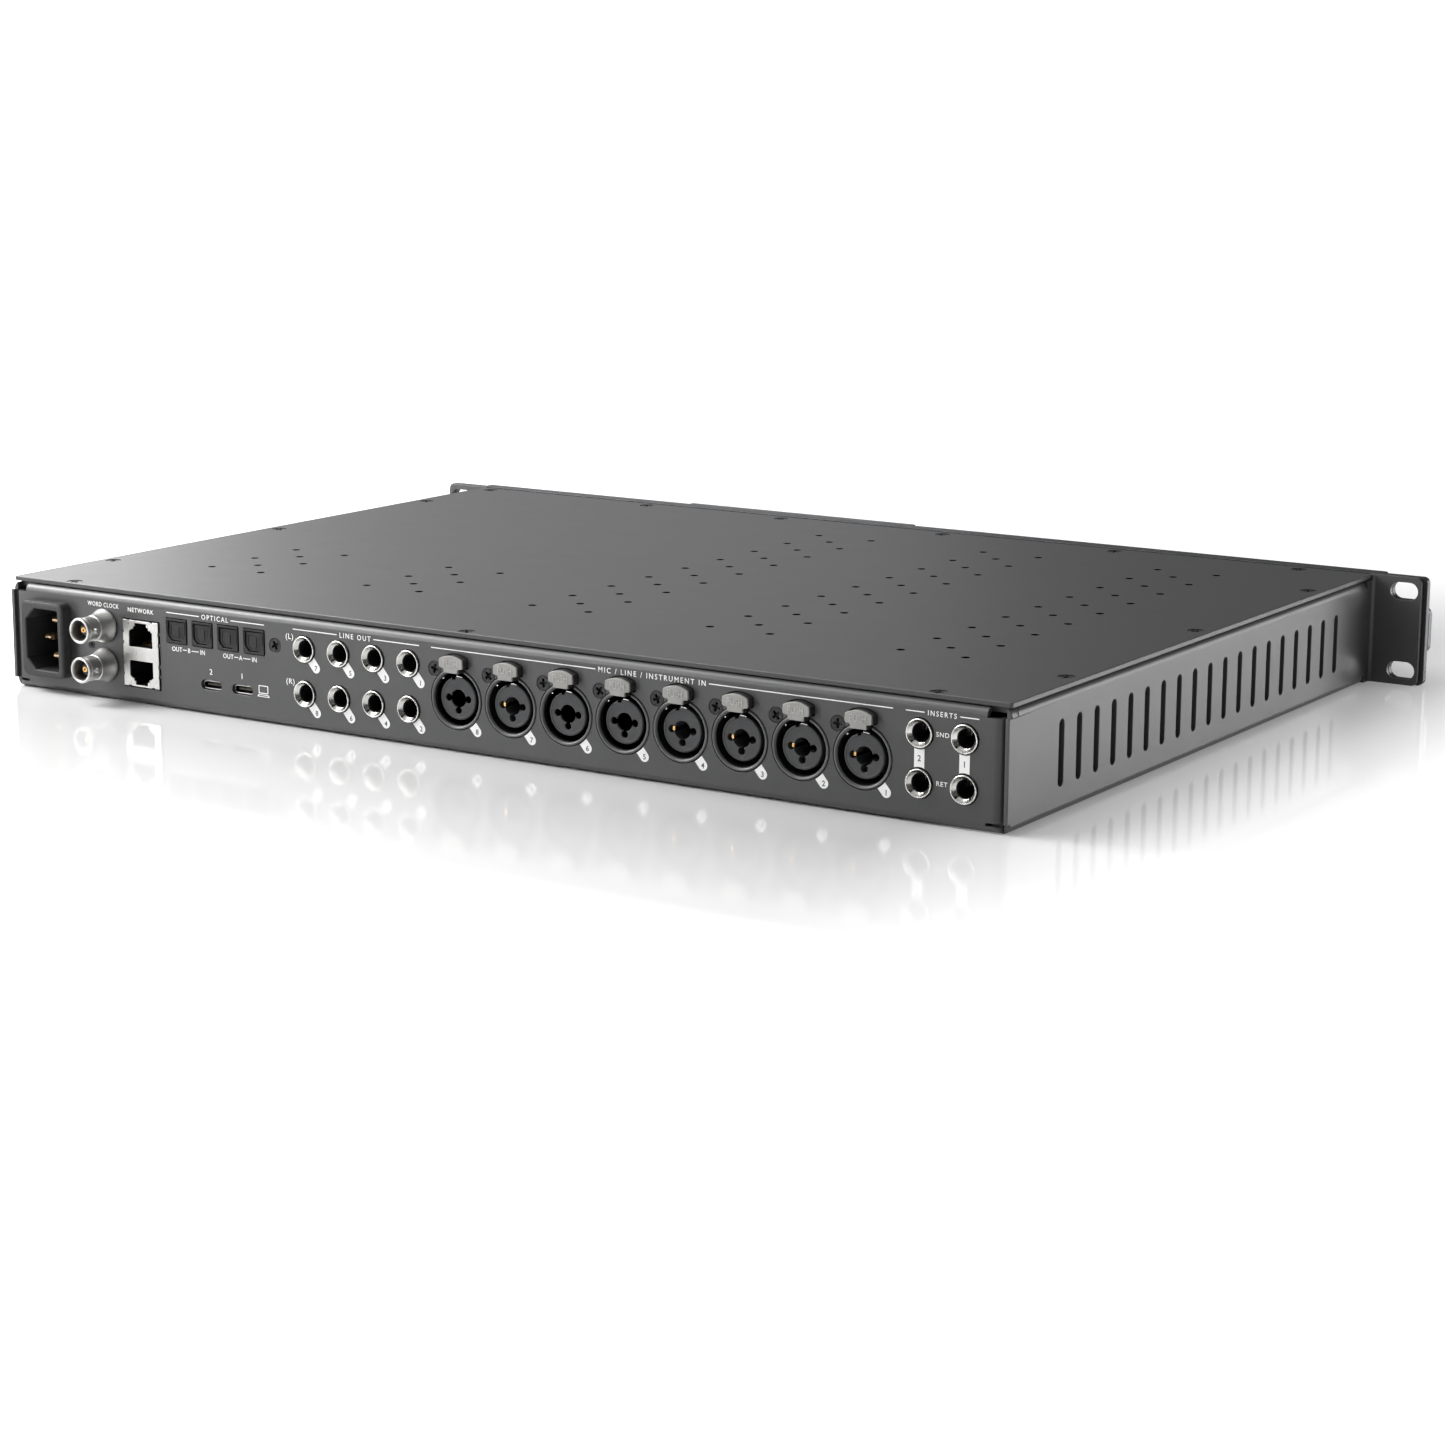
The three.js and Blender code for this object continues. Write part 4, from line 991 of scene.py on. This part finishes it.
def inlet_outline(grow=0.0):
    """The cavity's mouth: two corners cut off on the side of +X, the other two small."""
    x, z, radius = INLET.x, INLET.z, 0.9
    a, b, c = 8.2 + grow, 12 + grow, 4.5 + grow * 0.6
    return ([(x + a - c, z - b), (x + a, z - b + c), (x + a, z + b - c), (x + a - c, z + b)]
            + arc(x - a + radius, z + b - radius, radius, 90, 180, 4)
            + arc(x - a + radius, z - b + radius, radius, 180, 270, 4))


def mains_inlet():
    """Flange with soft outer edges round a deep cavity."""
    front, wide, tall = drawn("iec_inlet")[1].y, INLET_SIZE.x, INLET_SIZE.z
    flange = prism(round_rect(INLET.x, INLET.z, wide, tall, 2.6, 8), REAR + 0.3, front - 0.8)
    for inset, depth in ((0.1, 0.45), (0.35, 0.15), (0.8, 0)):
        outline = round_rect(INLET.x, INLET.z, wide - 2 * inset, tall - 2 * inset, 2.6 - inset / 2, 8)
        weld(flange, prism(outline, REAR + 1, front - depth))
    weld(flange, bar(INLET.x, INLET.z, wide - 2.8, tall - 2.8, BEHIND - 18, REAR + 1))
    slots = joined([bar(x, z, 4.8, 2.8, BEHIND - 20, REAR) for x, z in BLADES])
    lip = prism(inlet_outline(0.3), front - 0.3, front + 1)
    return cut(flange, prism(inlet_outline(), REAR - 12, REAR + 6), lip, slots)


def mains_blades():
    """Flat blades with tapered tips, on the insulator's plate."""
    tip = REAR - 0.8
    blades = []
    for x, z in BLADES:
        blades.append(bar(x, z, 4, 2, BEHIND - 20, tip - 1.2))
        blades.append(layered(((rectangle(x - 2, x + 2, z - 1, z + 1), tip - 1.3),
                               (rectangle(x - 1.4, x + 1.4, z - 0.4, z + 0.4), tip)), "y"))
    return weld(bar(INLET.x, INLET.z, 14, 22, BEHIND - 20.5, BEHIND - 18.4), *blades)


finish(mains_inlet(), "mains_inlet", INLET_PLASTIC, "iec_inlet", 0.12)
finish(mains_blades(), "mains_blades", BLADE, "iec_contacts", 0.1)

# ---- Front ----

WINDOW_MID = middle("display_module").x
WINDOW_SIZE = (99, 25)
KNOB_X = middle("level_knob").x
KNOB_FRONT, KNOB_REAR = depths("level_knob")
KNOB_RADIUS = 16
BUTTON_X = row("function_button", 4)
BUTTON_FRONT = depths("function_button_1")[0]
POWER_X = middle("power_button").x
POWER_FRONT = depths("power_button")[0]
PHONES_X = row("phones_jack", 2)
OPENING_X = sorted(BUTTON_X + [WINDOW_MID, KNOB_X, POWER_X] + PHONES_X)
BEZEL_FRONT, BEZEL_REAR = depths("display_bezel")


def window_outline(grow, radius):
    """The display's opening, wider and taller by grow."""
    return round_rect(WINDOW_MID, MID, WINDOW_SIZE[0] + grow, WINDOW_SIZE[1] + grow, radius)


def control_openings():
    """Cutters for what stands in both the front plate and the fascia."""
    holes = [round_rect(x, MID, 14.8, 8.8, 1.6) for x in BUTTON_X]
    holes += [window_outline(0, 1), circle(KNOB_X, MID, 3.8), circle(POWER_X, MID, 6.1, 64)]
    holes += [circle(x, MID, 4.8) for x in PHONES_X]
    return prisms(holes, FASCIA_FRONT - 3, 3)


def front_plate():
    plate = prism(round_rect(0, MID, 2 * RACK_HALF, COVER_TOP, 2.5, 8), PLATE_FRONT, PLATE_REAR)
    sliced(plate, "x", OPENING_X + [-SLOT_X, SLOT_X])
    return cut(plate, rack_slots(PLATE_FRONT - 2, 2), control_openings())


def front_fascia():
    """Thick face with a tongue at each end, dished round the knob and grooved beside the display."""
    face = prism(round_rect(0, MID, 445, COVER_TOP, 1.2), FASCIA_FRONT, FASCIA_REAR)
    tongues = prism(round_rect(0, MID, 2 * RACK_HALF, 18.4, 3, 8), FASCIA_FRONT, FASCIA_REAR)
    dish = lathe([(0, -1), (18.6, -1), (18.6, 0), (17.4, 0.5), (0, 0.5)], KNOB_X, MID, 120, base=FASCIA_FRONT)
    grooves = joined([block(x - 0.3, x + 0.3, FASCIA_FRONT - 1, FASCIA_FRONT + 0.35, 3, COVER_TOP - 3)
                      for x in (-152, -28, 188)])
    face = sliced(weld(face, tongues), "x", OPENING_X)
    return cut(face, control_openings(), dish, grooves)


def display_bezel():
    """Raised surround whose sides slope back, with a bevelled opening."""
    low, high = drawn("display_bezel")
    x, half, slope = middle("display_bezel").x, (high.x - low.x) / 2, 2.2
    surround = prism(round_rect(x, MID, 2 * half, high.z - low.z, 2.5, 8), BEZEL_FRONT, BEZEL_REAR)
    slopes = [prism([(x + s * (half - slope), BEZEL_FRONT - 1), (x + s * (half + 1), BEZEL_FRONT - 1),
                     (x + s * (half + 1), BEZEL_FRONT + slope + 1)], -1, COVER_TOP + 1, "z") for s in (-1, 1)]
    opening = prism(window_outline(-1, 1.5), BEZEL_FRONT - 1, BEZEL_REAR + 1)
    lip = prism(window_outline(0.6, 1.9), BEZEL_FRONT - 1, BEZEL_FRONT + 0.5)
    rebate = prism(window_outline(5, 1.5), BEZEL_FRONT + 1.3, BEZEL_REAR + 1)
    sliced(surround, "x", [WINDOW_MID])
    return cut(surround, joined(slopes), opening, lip, rebate)


def level_knob():
    """Knurled skirt under a turned face with a shallow dish, hollow behind, with a hub for the shaft."""
    r, teeth, rear = KNOB_RADIUS, 144, KNOB_REAR - KNOB_FRONT
    turned = partial(lathe, x=KNOB_X, z=MID, base=KNOB_FRONT)
    valleys, peaks = (circle(KNOB_X, MID, radius, 2 * teeth) for radius in (r - 0.45, r))
    flute = [peaks[i] if i % 2 == 0 else valleys[i] for i in range(2 * teeth)]
    skirt = prism(flute, KNOB_FRONT + 3.2, KNOB_REAR - 1.6)
    envelope = turned([(0, 0), (r - 2.1, 0), (r - 1.5, 0.15), (r - 0.8, 0.75), (r - 0.6, 1.6), (r - 0.6, 2.6),
                       (r - 0.9, 2.75), (r - 0.9, 3.1), (r - 0.5, 3.25), (r - 0.5, rear - 1.55),
                       (r - 0.2, rear - 1.5), (r - 0.2, rear - 0.3), (r - 0.5, rear), (0, rear)], sides=144)
    dish = turned([(0, -1), (r - 3.6, -1), (r - 3.6, 0), (r - 5.2, 0.3), (0, 0.45)], sides=120)
    hollow = turned(rectangle(6, r - 3, rear - 3, rear + 1), sides=72, closed=True)
    over_hub = turned(rectangle(0, 7, rear - 0.4, rear + 1), sides=48)
    bore = turned(rectangle(0, 2.75, 3, rear + 2), sides=40)
    mark = block(KNOB_X - 0.5, KNOB_X + 0.5, KNOB_FRONT - 1, KNOB_FRONT + 0.3, MID + r - 6.6, MID + r - 1.6)
    return cut(weld(skirt, envelope), dish, hollow, over_hub, bore, mark)


def knob_mark():
    """Inlaid white pointer."""
    top = MID + KNOB_RADIUS
    return block(KNOB_X - 0.42, KNOB_X + 0.42, KNOB_FRONT + 0.06, KNOB_FRONT + 0.28, top - 6.4, top - 1.8)


def function_button(x):
    """Slightly dished cap, the flange that holds it in, and its stem."""
    cap = prism(round_rect(x, MID, 14, 8, 1.2), BUTTON_FRONT, PLATE_REAR + 1)
    hollow = moved(lathe([(0, -1.2), (24, -1.2), (23.4, 0), (0, 0.25)], 0, 0, 96),
                   Matrix.Translation((x, BUTTON_FRONT - 0.02, MID)) @ Matrix.Diagonal((0.27, 1, 0.14, 1)))
    guide = prism(obround(x, MID + 2.6, 4.2, 0.9, 8), BUTTON_FRONT - 1, BUTTON_FRONT + 0.4)
    flange = prism(round_rect(x, MID, 17, 11, 1.2), PLATE_REAR + GAP, PLATE_REAR + 1.6)
    return weld(cut(cap, hollow, guide), flange, prism(circle(x, MID, 1.5, 24), PLATE_REAR + 0.9, 1.4))


def button_light(x):
    return prism(obround(x, MID + 2.6, 4.0, 0.7, 8), BUTTON_FRONT + 0.05, BUTTON_FRONT + 0.38)


def power_button():
    plate = PLATE_REAR - POWER_FRONT
    cap = lathe([(0, 0.5), (3.4, 0.28), (4.5, 0.02), (5.1, 0), (5.5, 0.15), (5.7, 0.5), (5.7, plate + GAP),
                 (7.2, plate + GAP), (7.2, plate + 1.6), (1.5, plate + 1.6), (1.5, 1.4 - POWER_FRONT),
                 (0, 1.4 - POWER_FRONT)], POWER_X, MID, 96, base=POWER_FRONT)
    return cut(cap, lathe(rectangle(2.3, 2.8, -1, 0.75), POWER_X, MID, closed=True, base=POWER_FRONT))


def power_light():
    return lathe(rectangle(2.36, 2.74, 0.42, 0.72), POWER_X, MID, closed=True, base=POWER_FRONT)


def phones_jack(x):
    """Threaded bush, a round nut with a coned mouth and two spanner slots, and the body behind."""
    nut = FASCIA_FRONT - GAP
    plate = PLATE_REAR - nut
    bush = lathe([(0, -1.6), (5.2, -1.6), (5.5, -1.45), (6.2, -0.75), (6.3, -0.55), (6.3, 0), (4.5, 0),
                  (4.5, plate + 1.5), (0, plate + 1.5)], x, MID, 96, base=nut)
    slots = joined([bar(x + u, MID, 1.9, 1.2, nut - 2.5, nut - 0.7) for u in (-6.05, 6.05)])
    bore = lathe([(0, -3), (4.6, -3), (4.1, -1.6), (3.2, -0.4), (3.2, 19 - nut), (0, 19 - nut)],
                 x, MID, 72, base=nut)
    return cut(weld(bush, bar(x, MID, 15, 13, PLATE_REAR + GAP, 22)), slots, bore)


def phones_sleeve(x):
    """Dark liner down the bore."""
    return lathe(rectangle(2.85, 3.16, FASCIA_FRONT + 0.6, 18.9), x, MID, closed=True)


finish(front_plate(), "front_plate_sheet", FRONT_PLATE, "front_plate", 0.3, 3)
finish(front_fascia(), "fascia", FASCIA, "front_fascia", 0.3, 3)
finish(display_bezel(), "display_surround", FASCIA, "display_bezel", 0.3, 3)
finish(prism(window_outline(4.4, 1.2), BEZEL_FRONT + 1.6, BEZEL_REAR), "display_pane", WINDOW,
       "display_window", 0.4, 3)
finish(level_knob(), "knob", KNOB_METAL, "level_knob", 0.06, body="knob")
finish(knob_mark(), "knob_mark", WHITE_INK, body="knob")
for n, x in enumerate(BUTTON_X, 1):
    body = f"button_{n}"
    finish(function_button(x), f"button_cap_{n}", BUTTON, f"function_button_{n}", 0.35, 3,
           body)
    finish(button_light(x), f"button_light_{n}", LIGHT_PIPE, bevel=0.08, body=body)
finish(power_button(), "power_cap", POWER_METAL, "power_button", 0.08, body="power")
finish(power_light(), "power_light", LIGHT_PIPE, body="power")
for n, x in enumerate(PHONES_X, 1):
    finish(phones_jack(x), f"phones_socket_{n}", NICKEL, f"phones_jack_{n}", 0.08)
    finish(phones_sleeve(x), f"phones_liner_{n}", BLACK)

# ---- CAD nodes that stay as they are ----

KEPT = {
    "front_rail": (ZINC, 0.2), "display_module": (DISPLAY, 0.15), "front_board": (FRONT_BOARD, 0.12),
    "level_encoder": (ZINC, 0.15), "encoder_shaft": (ZINC, 0.15), "main_board": (BOARD, 0.12),
    "preamp_board": (BOARD, 0.12), "power_supply": (BOARD, 0.12),
}
for name, (material, bevel) in KEPT.items():
    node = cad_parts[name]
    for holder in node.material_slots:
        holder.link = "OBJECT"
        holder.material = material
    node.modifiers.new("corners", "WELD").merge_threshold = 0.01 * MM
    round_edges(node, bevel, 2)

# ---- Print on the rear panel: generic words, numbers and rules ----

PRINT_LOW, PRINT_HIGH = REAR + 0.004, REAR + 0.05
HEADER_Z = MID + 15.4
LABEL_TURN = 50                        # a numbered label points this far below -X, in degrees
LABEL_WIDTH = 3.6
LABELS = [(x, COMBO_Z, 11.45, 16.0) for x in COMBO_X]
LABELS += [(x, z, 5.3, 10.4) for x in LINE_X for z in PAIR_Z]
LABEL_NUMBERS = [*range(1, 9), *range(1, 9)]


def printed(outline):
    return prism(outline, PRINT_LOW, PRINT_HIGH)


def through_print(outline):
    return prism(outline, REAR - 1, REAR + 1)


def word(text, x, z, size, width=1.05, weight=0.018, spacing=1.15, raised=0.0):
    """A word centred on (x, z) of the rear panel, as solids a few hundredths of a millimetre thick."""
    words = lettering(text, size, PRINT_HIGH - PRINT_LOW, width, weight, spacing)
    return placed(words, x, PRINT_LOW + raised, z)


def rule(x0, x1, z=HEADER_Z, half=0.17):
    return block(x0, x1, PRINT_LOW, PRINT_HIGH, z - half, z + half)


def header(text, size, left, right):
    """A heading half way between two edges, with a rule from each side of it to each edge."""
    x = (left + right) / 2
    words = word(text, x, HEADER_Z, size, 0.95, spacing=1.36)
    half = max(v.co.x for v in words.data.vertices) - x + 1.3
    return [words, rule(left, x + half), rule(right, x - half)]


def numbered_label(x, z, edge, reach):
    """A rounded white flag from a socket's edge down towards -X."""
    half = LABEL_WIDTH / 2
    flag = printed([(0, half)] + arc(half - reach, 0, half, 90, 270, 14) + [(0, -half)])
    return placed(cut(flag, through_print(circle(0, 0, edge, 72))), x, 0, z, LABEL_TURN)


def optical_words(letter, left, right):
    """The words under a pair of optical sockets, joined by rules."""
    x, z = (left + right) / 2 + 0.3, MID + 1.8
    words = [word(text, u, z, 2.5, 0.95, spacing=1.05)
             for text, u in (("OUT", left), (letter, x), ("IN", right))]
    return words + [rule(left - 2.9, x + 1.2, z, 0.15), rule(x - 1.2, right + 1.9, z, 0.15)]


def white_print():
    marks = header("OPTICAL", 2.7, 138.5, 90.5) + header("LINE OUT", 2.7, 76.6, 18.2)
    marks += header("MIC / LINE / INSTRUMENT IN", 2.7, 12.7, -176.7) + header("INSERTS", 2.4, -181.5, -208.5)
    left_to_right = sorted(OPTICAL_X, reverse=True)
    marks += optical_words("B", *left_to_right[:2]) + optical_words("A", *left_to_right[2:])
    marks += [word("WORD CLOCK", BNC[0].x + 0.3, MID + 15.1, 2.4, 0.88),
              word("NETWORK", NETWORK.x, MID + 14.6, 2.4, 1.0),
              word("(L)", 78.35, MID + 12.2, 2.9), word("(R)", 78.35, MID - 4.6, 2.9)]
    between = sum(INSERT_X) / 2 - 0.2
    marks += [word("SND", between, MID + 8.7, 2.2), word("RET", between, MID - 7.6, 2.2)]
    marks += [word(str(n), x, USB_Z + 5.2, 3.0) for n, x in enumerate(USB_X, 1)]
    marks += [cut(printed(rectangle(x - 1.9, x + 1.9, PAIR_Z[1], PAIR_Z[0])),
                  *[through_print(circle(x, z, 5.45)) for z in PAIR_Z]) for x in INSERT_X]
    return joined(marks + [numbered_label(*label) for label in LABELS])


def dark_numbers():
    """The numbers on the white labels and on the bars between the insert sockets."""
    turn = math.radians(LABEL_TURN)
    places = []
    for number, (x, z, _, reach) in zip(LABEL_NUMBERS, LABELS):
        away = reach - LABEL_WIDTH / 2
        places.append((number, x - away * math.cos(turn), z - away * math.sin(turn), 2.7))
    places += [(n, x, MID, 2.9) for n, x in enumerate(INSERT_X, 1)]
    return joined([word(str(number), x, z, size, 0.95, 0.03, raised=0.03) for number, x, z, size in places])


def computer_mark():
    """A laptop in outline beside the computer sockets."""
    x, z = 91.5, MID - 9.6

    def keyboard(wide, narrow, low, high):
        return [(x - wide, z - low), (x + wide, z - low), (x + narrow, z - high), (x - narrow, z - high)]

    lid = cut(printed(round_rect(x, z + 0.6, 4.6, 3.1, 0.3, 3)),
              through_print(round_rect(x, z + 0.6, 3.9, 2.4, 0.15, 3)))
    base = cut(printed(keyboard(3.0, 2.4, 2.2, 1.3)), through_print(keyboard(2.3, 2.0, 1.95, 1.55)))
    return joined([lid, base])


finish(white_print(), "rear_print", WHITE_INK, bevel=0)
finish(dark_numbers(), "label_numbers", BLACK_INK, bevel=0)
finish(computer_mark(), "computer_mark", WHITE_INK, bevel=0)

# ---- Studio ----

CAMERA_PLACE = Vector((-685.90, 1050.85, 251.24)) * MM
CAMERA_AZIMUTH = 212.807
CAMERA_ELEVATION = 12.059
CAMERA_ROLL = 0.246
LENS = 80.38
FLOOR_SIZE = 12


def turn_about(axis, degrees):
    return Matrix.Rotation(math.radians(degrees), 4, axis)


def add_camera():
    data = bpy.data.cameras.new("camera")
    data.lens = LENS
    data.sensor_width = 36
    data.clip_start = 0.01
    camera = new_object(data)
    camera.matrix_world = (Matrix.Translation(CAMERA_PLACE) @ turn_about("Z", CAMERA_AZIMUTH)
                           @ turn_about("X", 90 - CAMERA_ELEVATION) @ turn_about("Z", CAMERA_ROLL))
    bpy.context.scene.camera = camera


def softbox(name, place, target, width, height, power):
    light = bpy.data.lights.new(name, "AREA")
    light.shape = "RECTANGLE"
    light.size, light.size_y = width, height
    light.energy = power
    direction = Vector(target) - Vector(place)
    new_object(light).matrix_world = (Matrix.Translation(place)
                                      @ direction.to_track_quat("-Z", "Y").to_matrix().to_4x4())


def add_floor():
    """Pale glossy floor with a painted glow that brightens it to white away from the object; near the object,
    where it doesn't glow, the real shade shows, and the glow starts further out on the side of +X.
    """
    bpy.ops.mesh.primitive_grid_add(x_subdivisions=8, y_subdivisions=8, size=FLOOR_SIZE, location=(0, 0, 0))
    floor = bpy.context.object
    floor.name = "floor"
    paper = Shader("studio floor", 0.07, Specular_IOR_Level=0.5)
    paper.set("Base Color", (0.68, 0.68, 0.68, 1))
    paper.set("Emission Color", (1, 1, 1, 1))
    paper.gloss(paper.noise(80, 2), 0.06, 0.08)
    outside = paper.scaled((2, 1, 1), (-0.07, 0, 0))
    for operation, value in (("ABSOLUTE", ()), ("SUBTRACT", (0.44, 0.19, 1)), ("MAXIMUM", (0, 0, 0))):
        inputs = {0: outside, 1: value} if value else {0: outside}
        outside = wired(paper.tree, "VectorMath", inputs, operation=operation).outputs["Vector"]
    away = wired(paper.tree, "VectorMath", {0: outside}, operation="LENGTH").outputs["Value"]
    # Painted light: the floor glows more the further it lies from the object.
    paper.set("Emission Strength", paper.spread(away, 0.0, 0.9, 0.0, 0.33))
    floor.data.materials.append(paper.material)


def add_world():
    """White behind the object; dimmer for light and reflections, brighter on the side of +X."""
    world = bpy.data.worlds.new("studio")
    world.use_nodes = True
    bpy.context.scene.world = world
    tree = world.node_tree
    seen = tree.nodes["Background"]
    seen.inputs["Color"].default_value = (1, 1, 1, 1)
    seen.inputs["Strength"].default_value = 1.0
    place = tree.nodes.new("ShaderNodeTexCoord").outputs["Generated"]
    side = wired(tree, "VectorMath", {0: place, 1: (0.85, 0.30, 0.43)}, operation="DOT_PRODUCT")
    strength = map_range(tree, side.outputs["Value"], 0.07, 0.5, -0.2, 0.9)
    room = wired(tree, "Background", {"Strength": strength})
    camera_ray = tree.nodes.new("ShaderNodeLightPath").outputs["Is Camera Ray"]
    choose = wired(tree, "MixShader", {"Fac": camera_ray, 1: room.outputs[0], 2: seen.outputs[0]})
    tree.links.new(choose.outputs["Shader"], tree.nodes["World Output"].inputs["Surface"])


add_camera()
add_floor()
add_world()
softbox("overhead", (0.9, 0.45, 1.3), (0.1, 0, 0), 1.0, 0.8, 15)
softbox("cover_sweep", (1.6, -0.75, 0.62), (0.1, 0.1, 0.04), 1.0, 0.8, 8.6)
softbox("cover_fill", (1.25, -1.3, 0.62), (0.1, 0.1, 0.04), 1.2, 0.8, 1.5)
softbox("bend_light", (0.69, 0.31, 0.52), (0.2, 0.17, 0.04), 0.35, 0.35, 6.5)
softbox("left_rear", (0.95, 1.15, 0.5), (0.16, 0.12, 0.02), 0.7, 0.5, 9)
softbox("right_side", (-1.3, -1.25, 0.3), (-0.2, 0, 0.02), 1.2, 0.45, 15)
softbox("floor_fill", (-0.2, 0.4, 1.8), (-0.2, 0.2, 0), 1.8, 1.8, 3)
bpy.context.scene.view_settings.view_transform = "Standard"
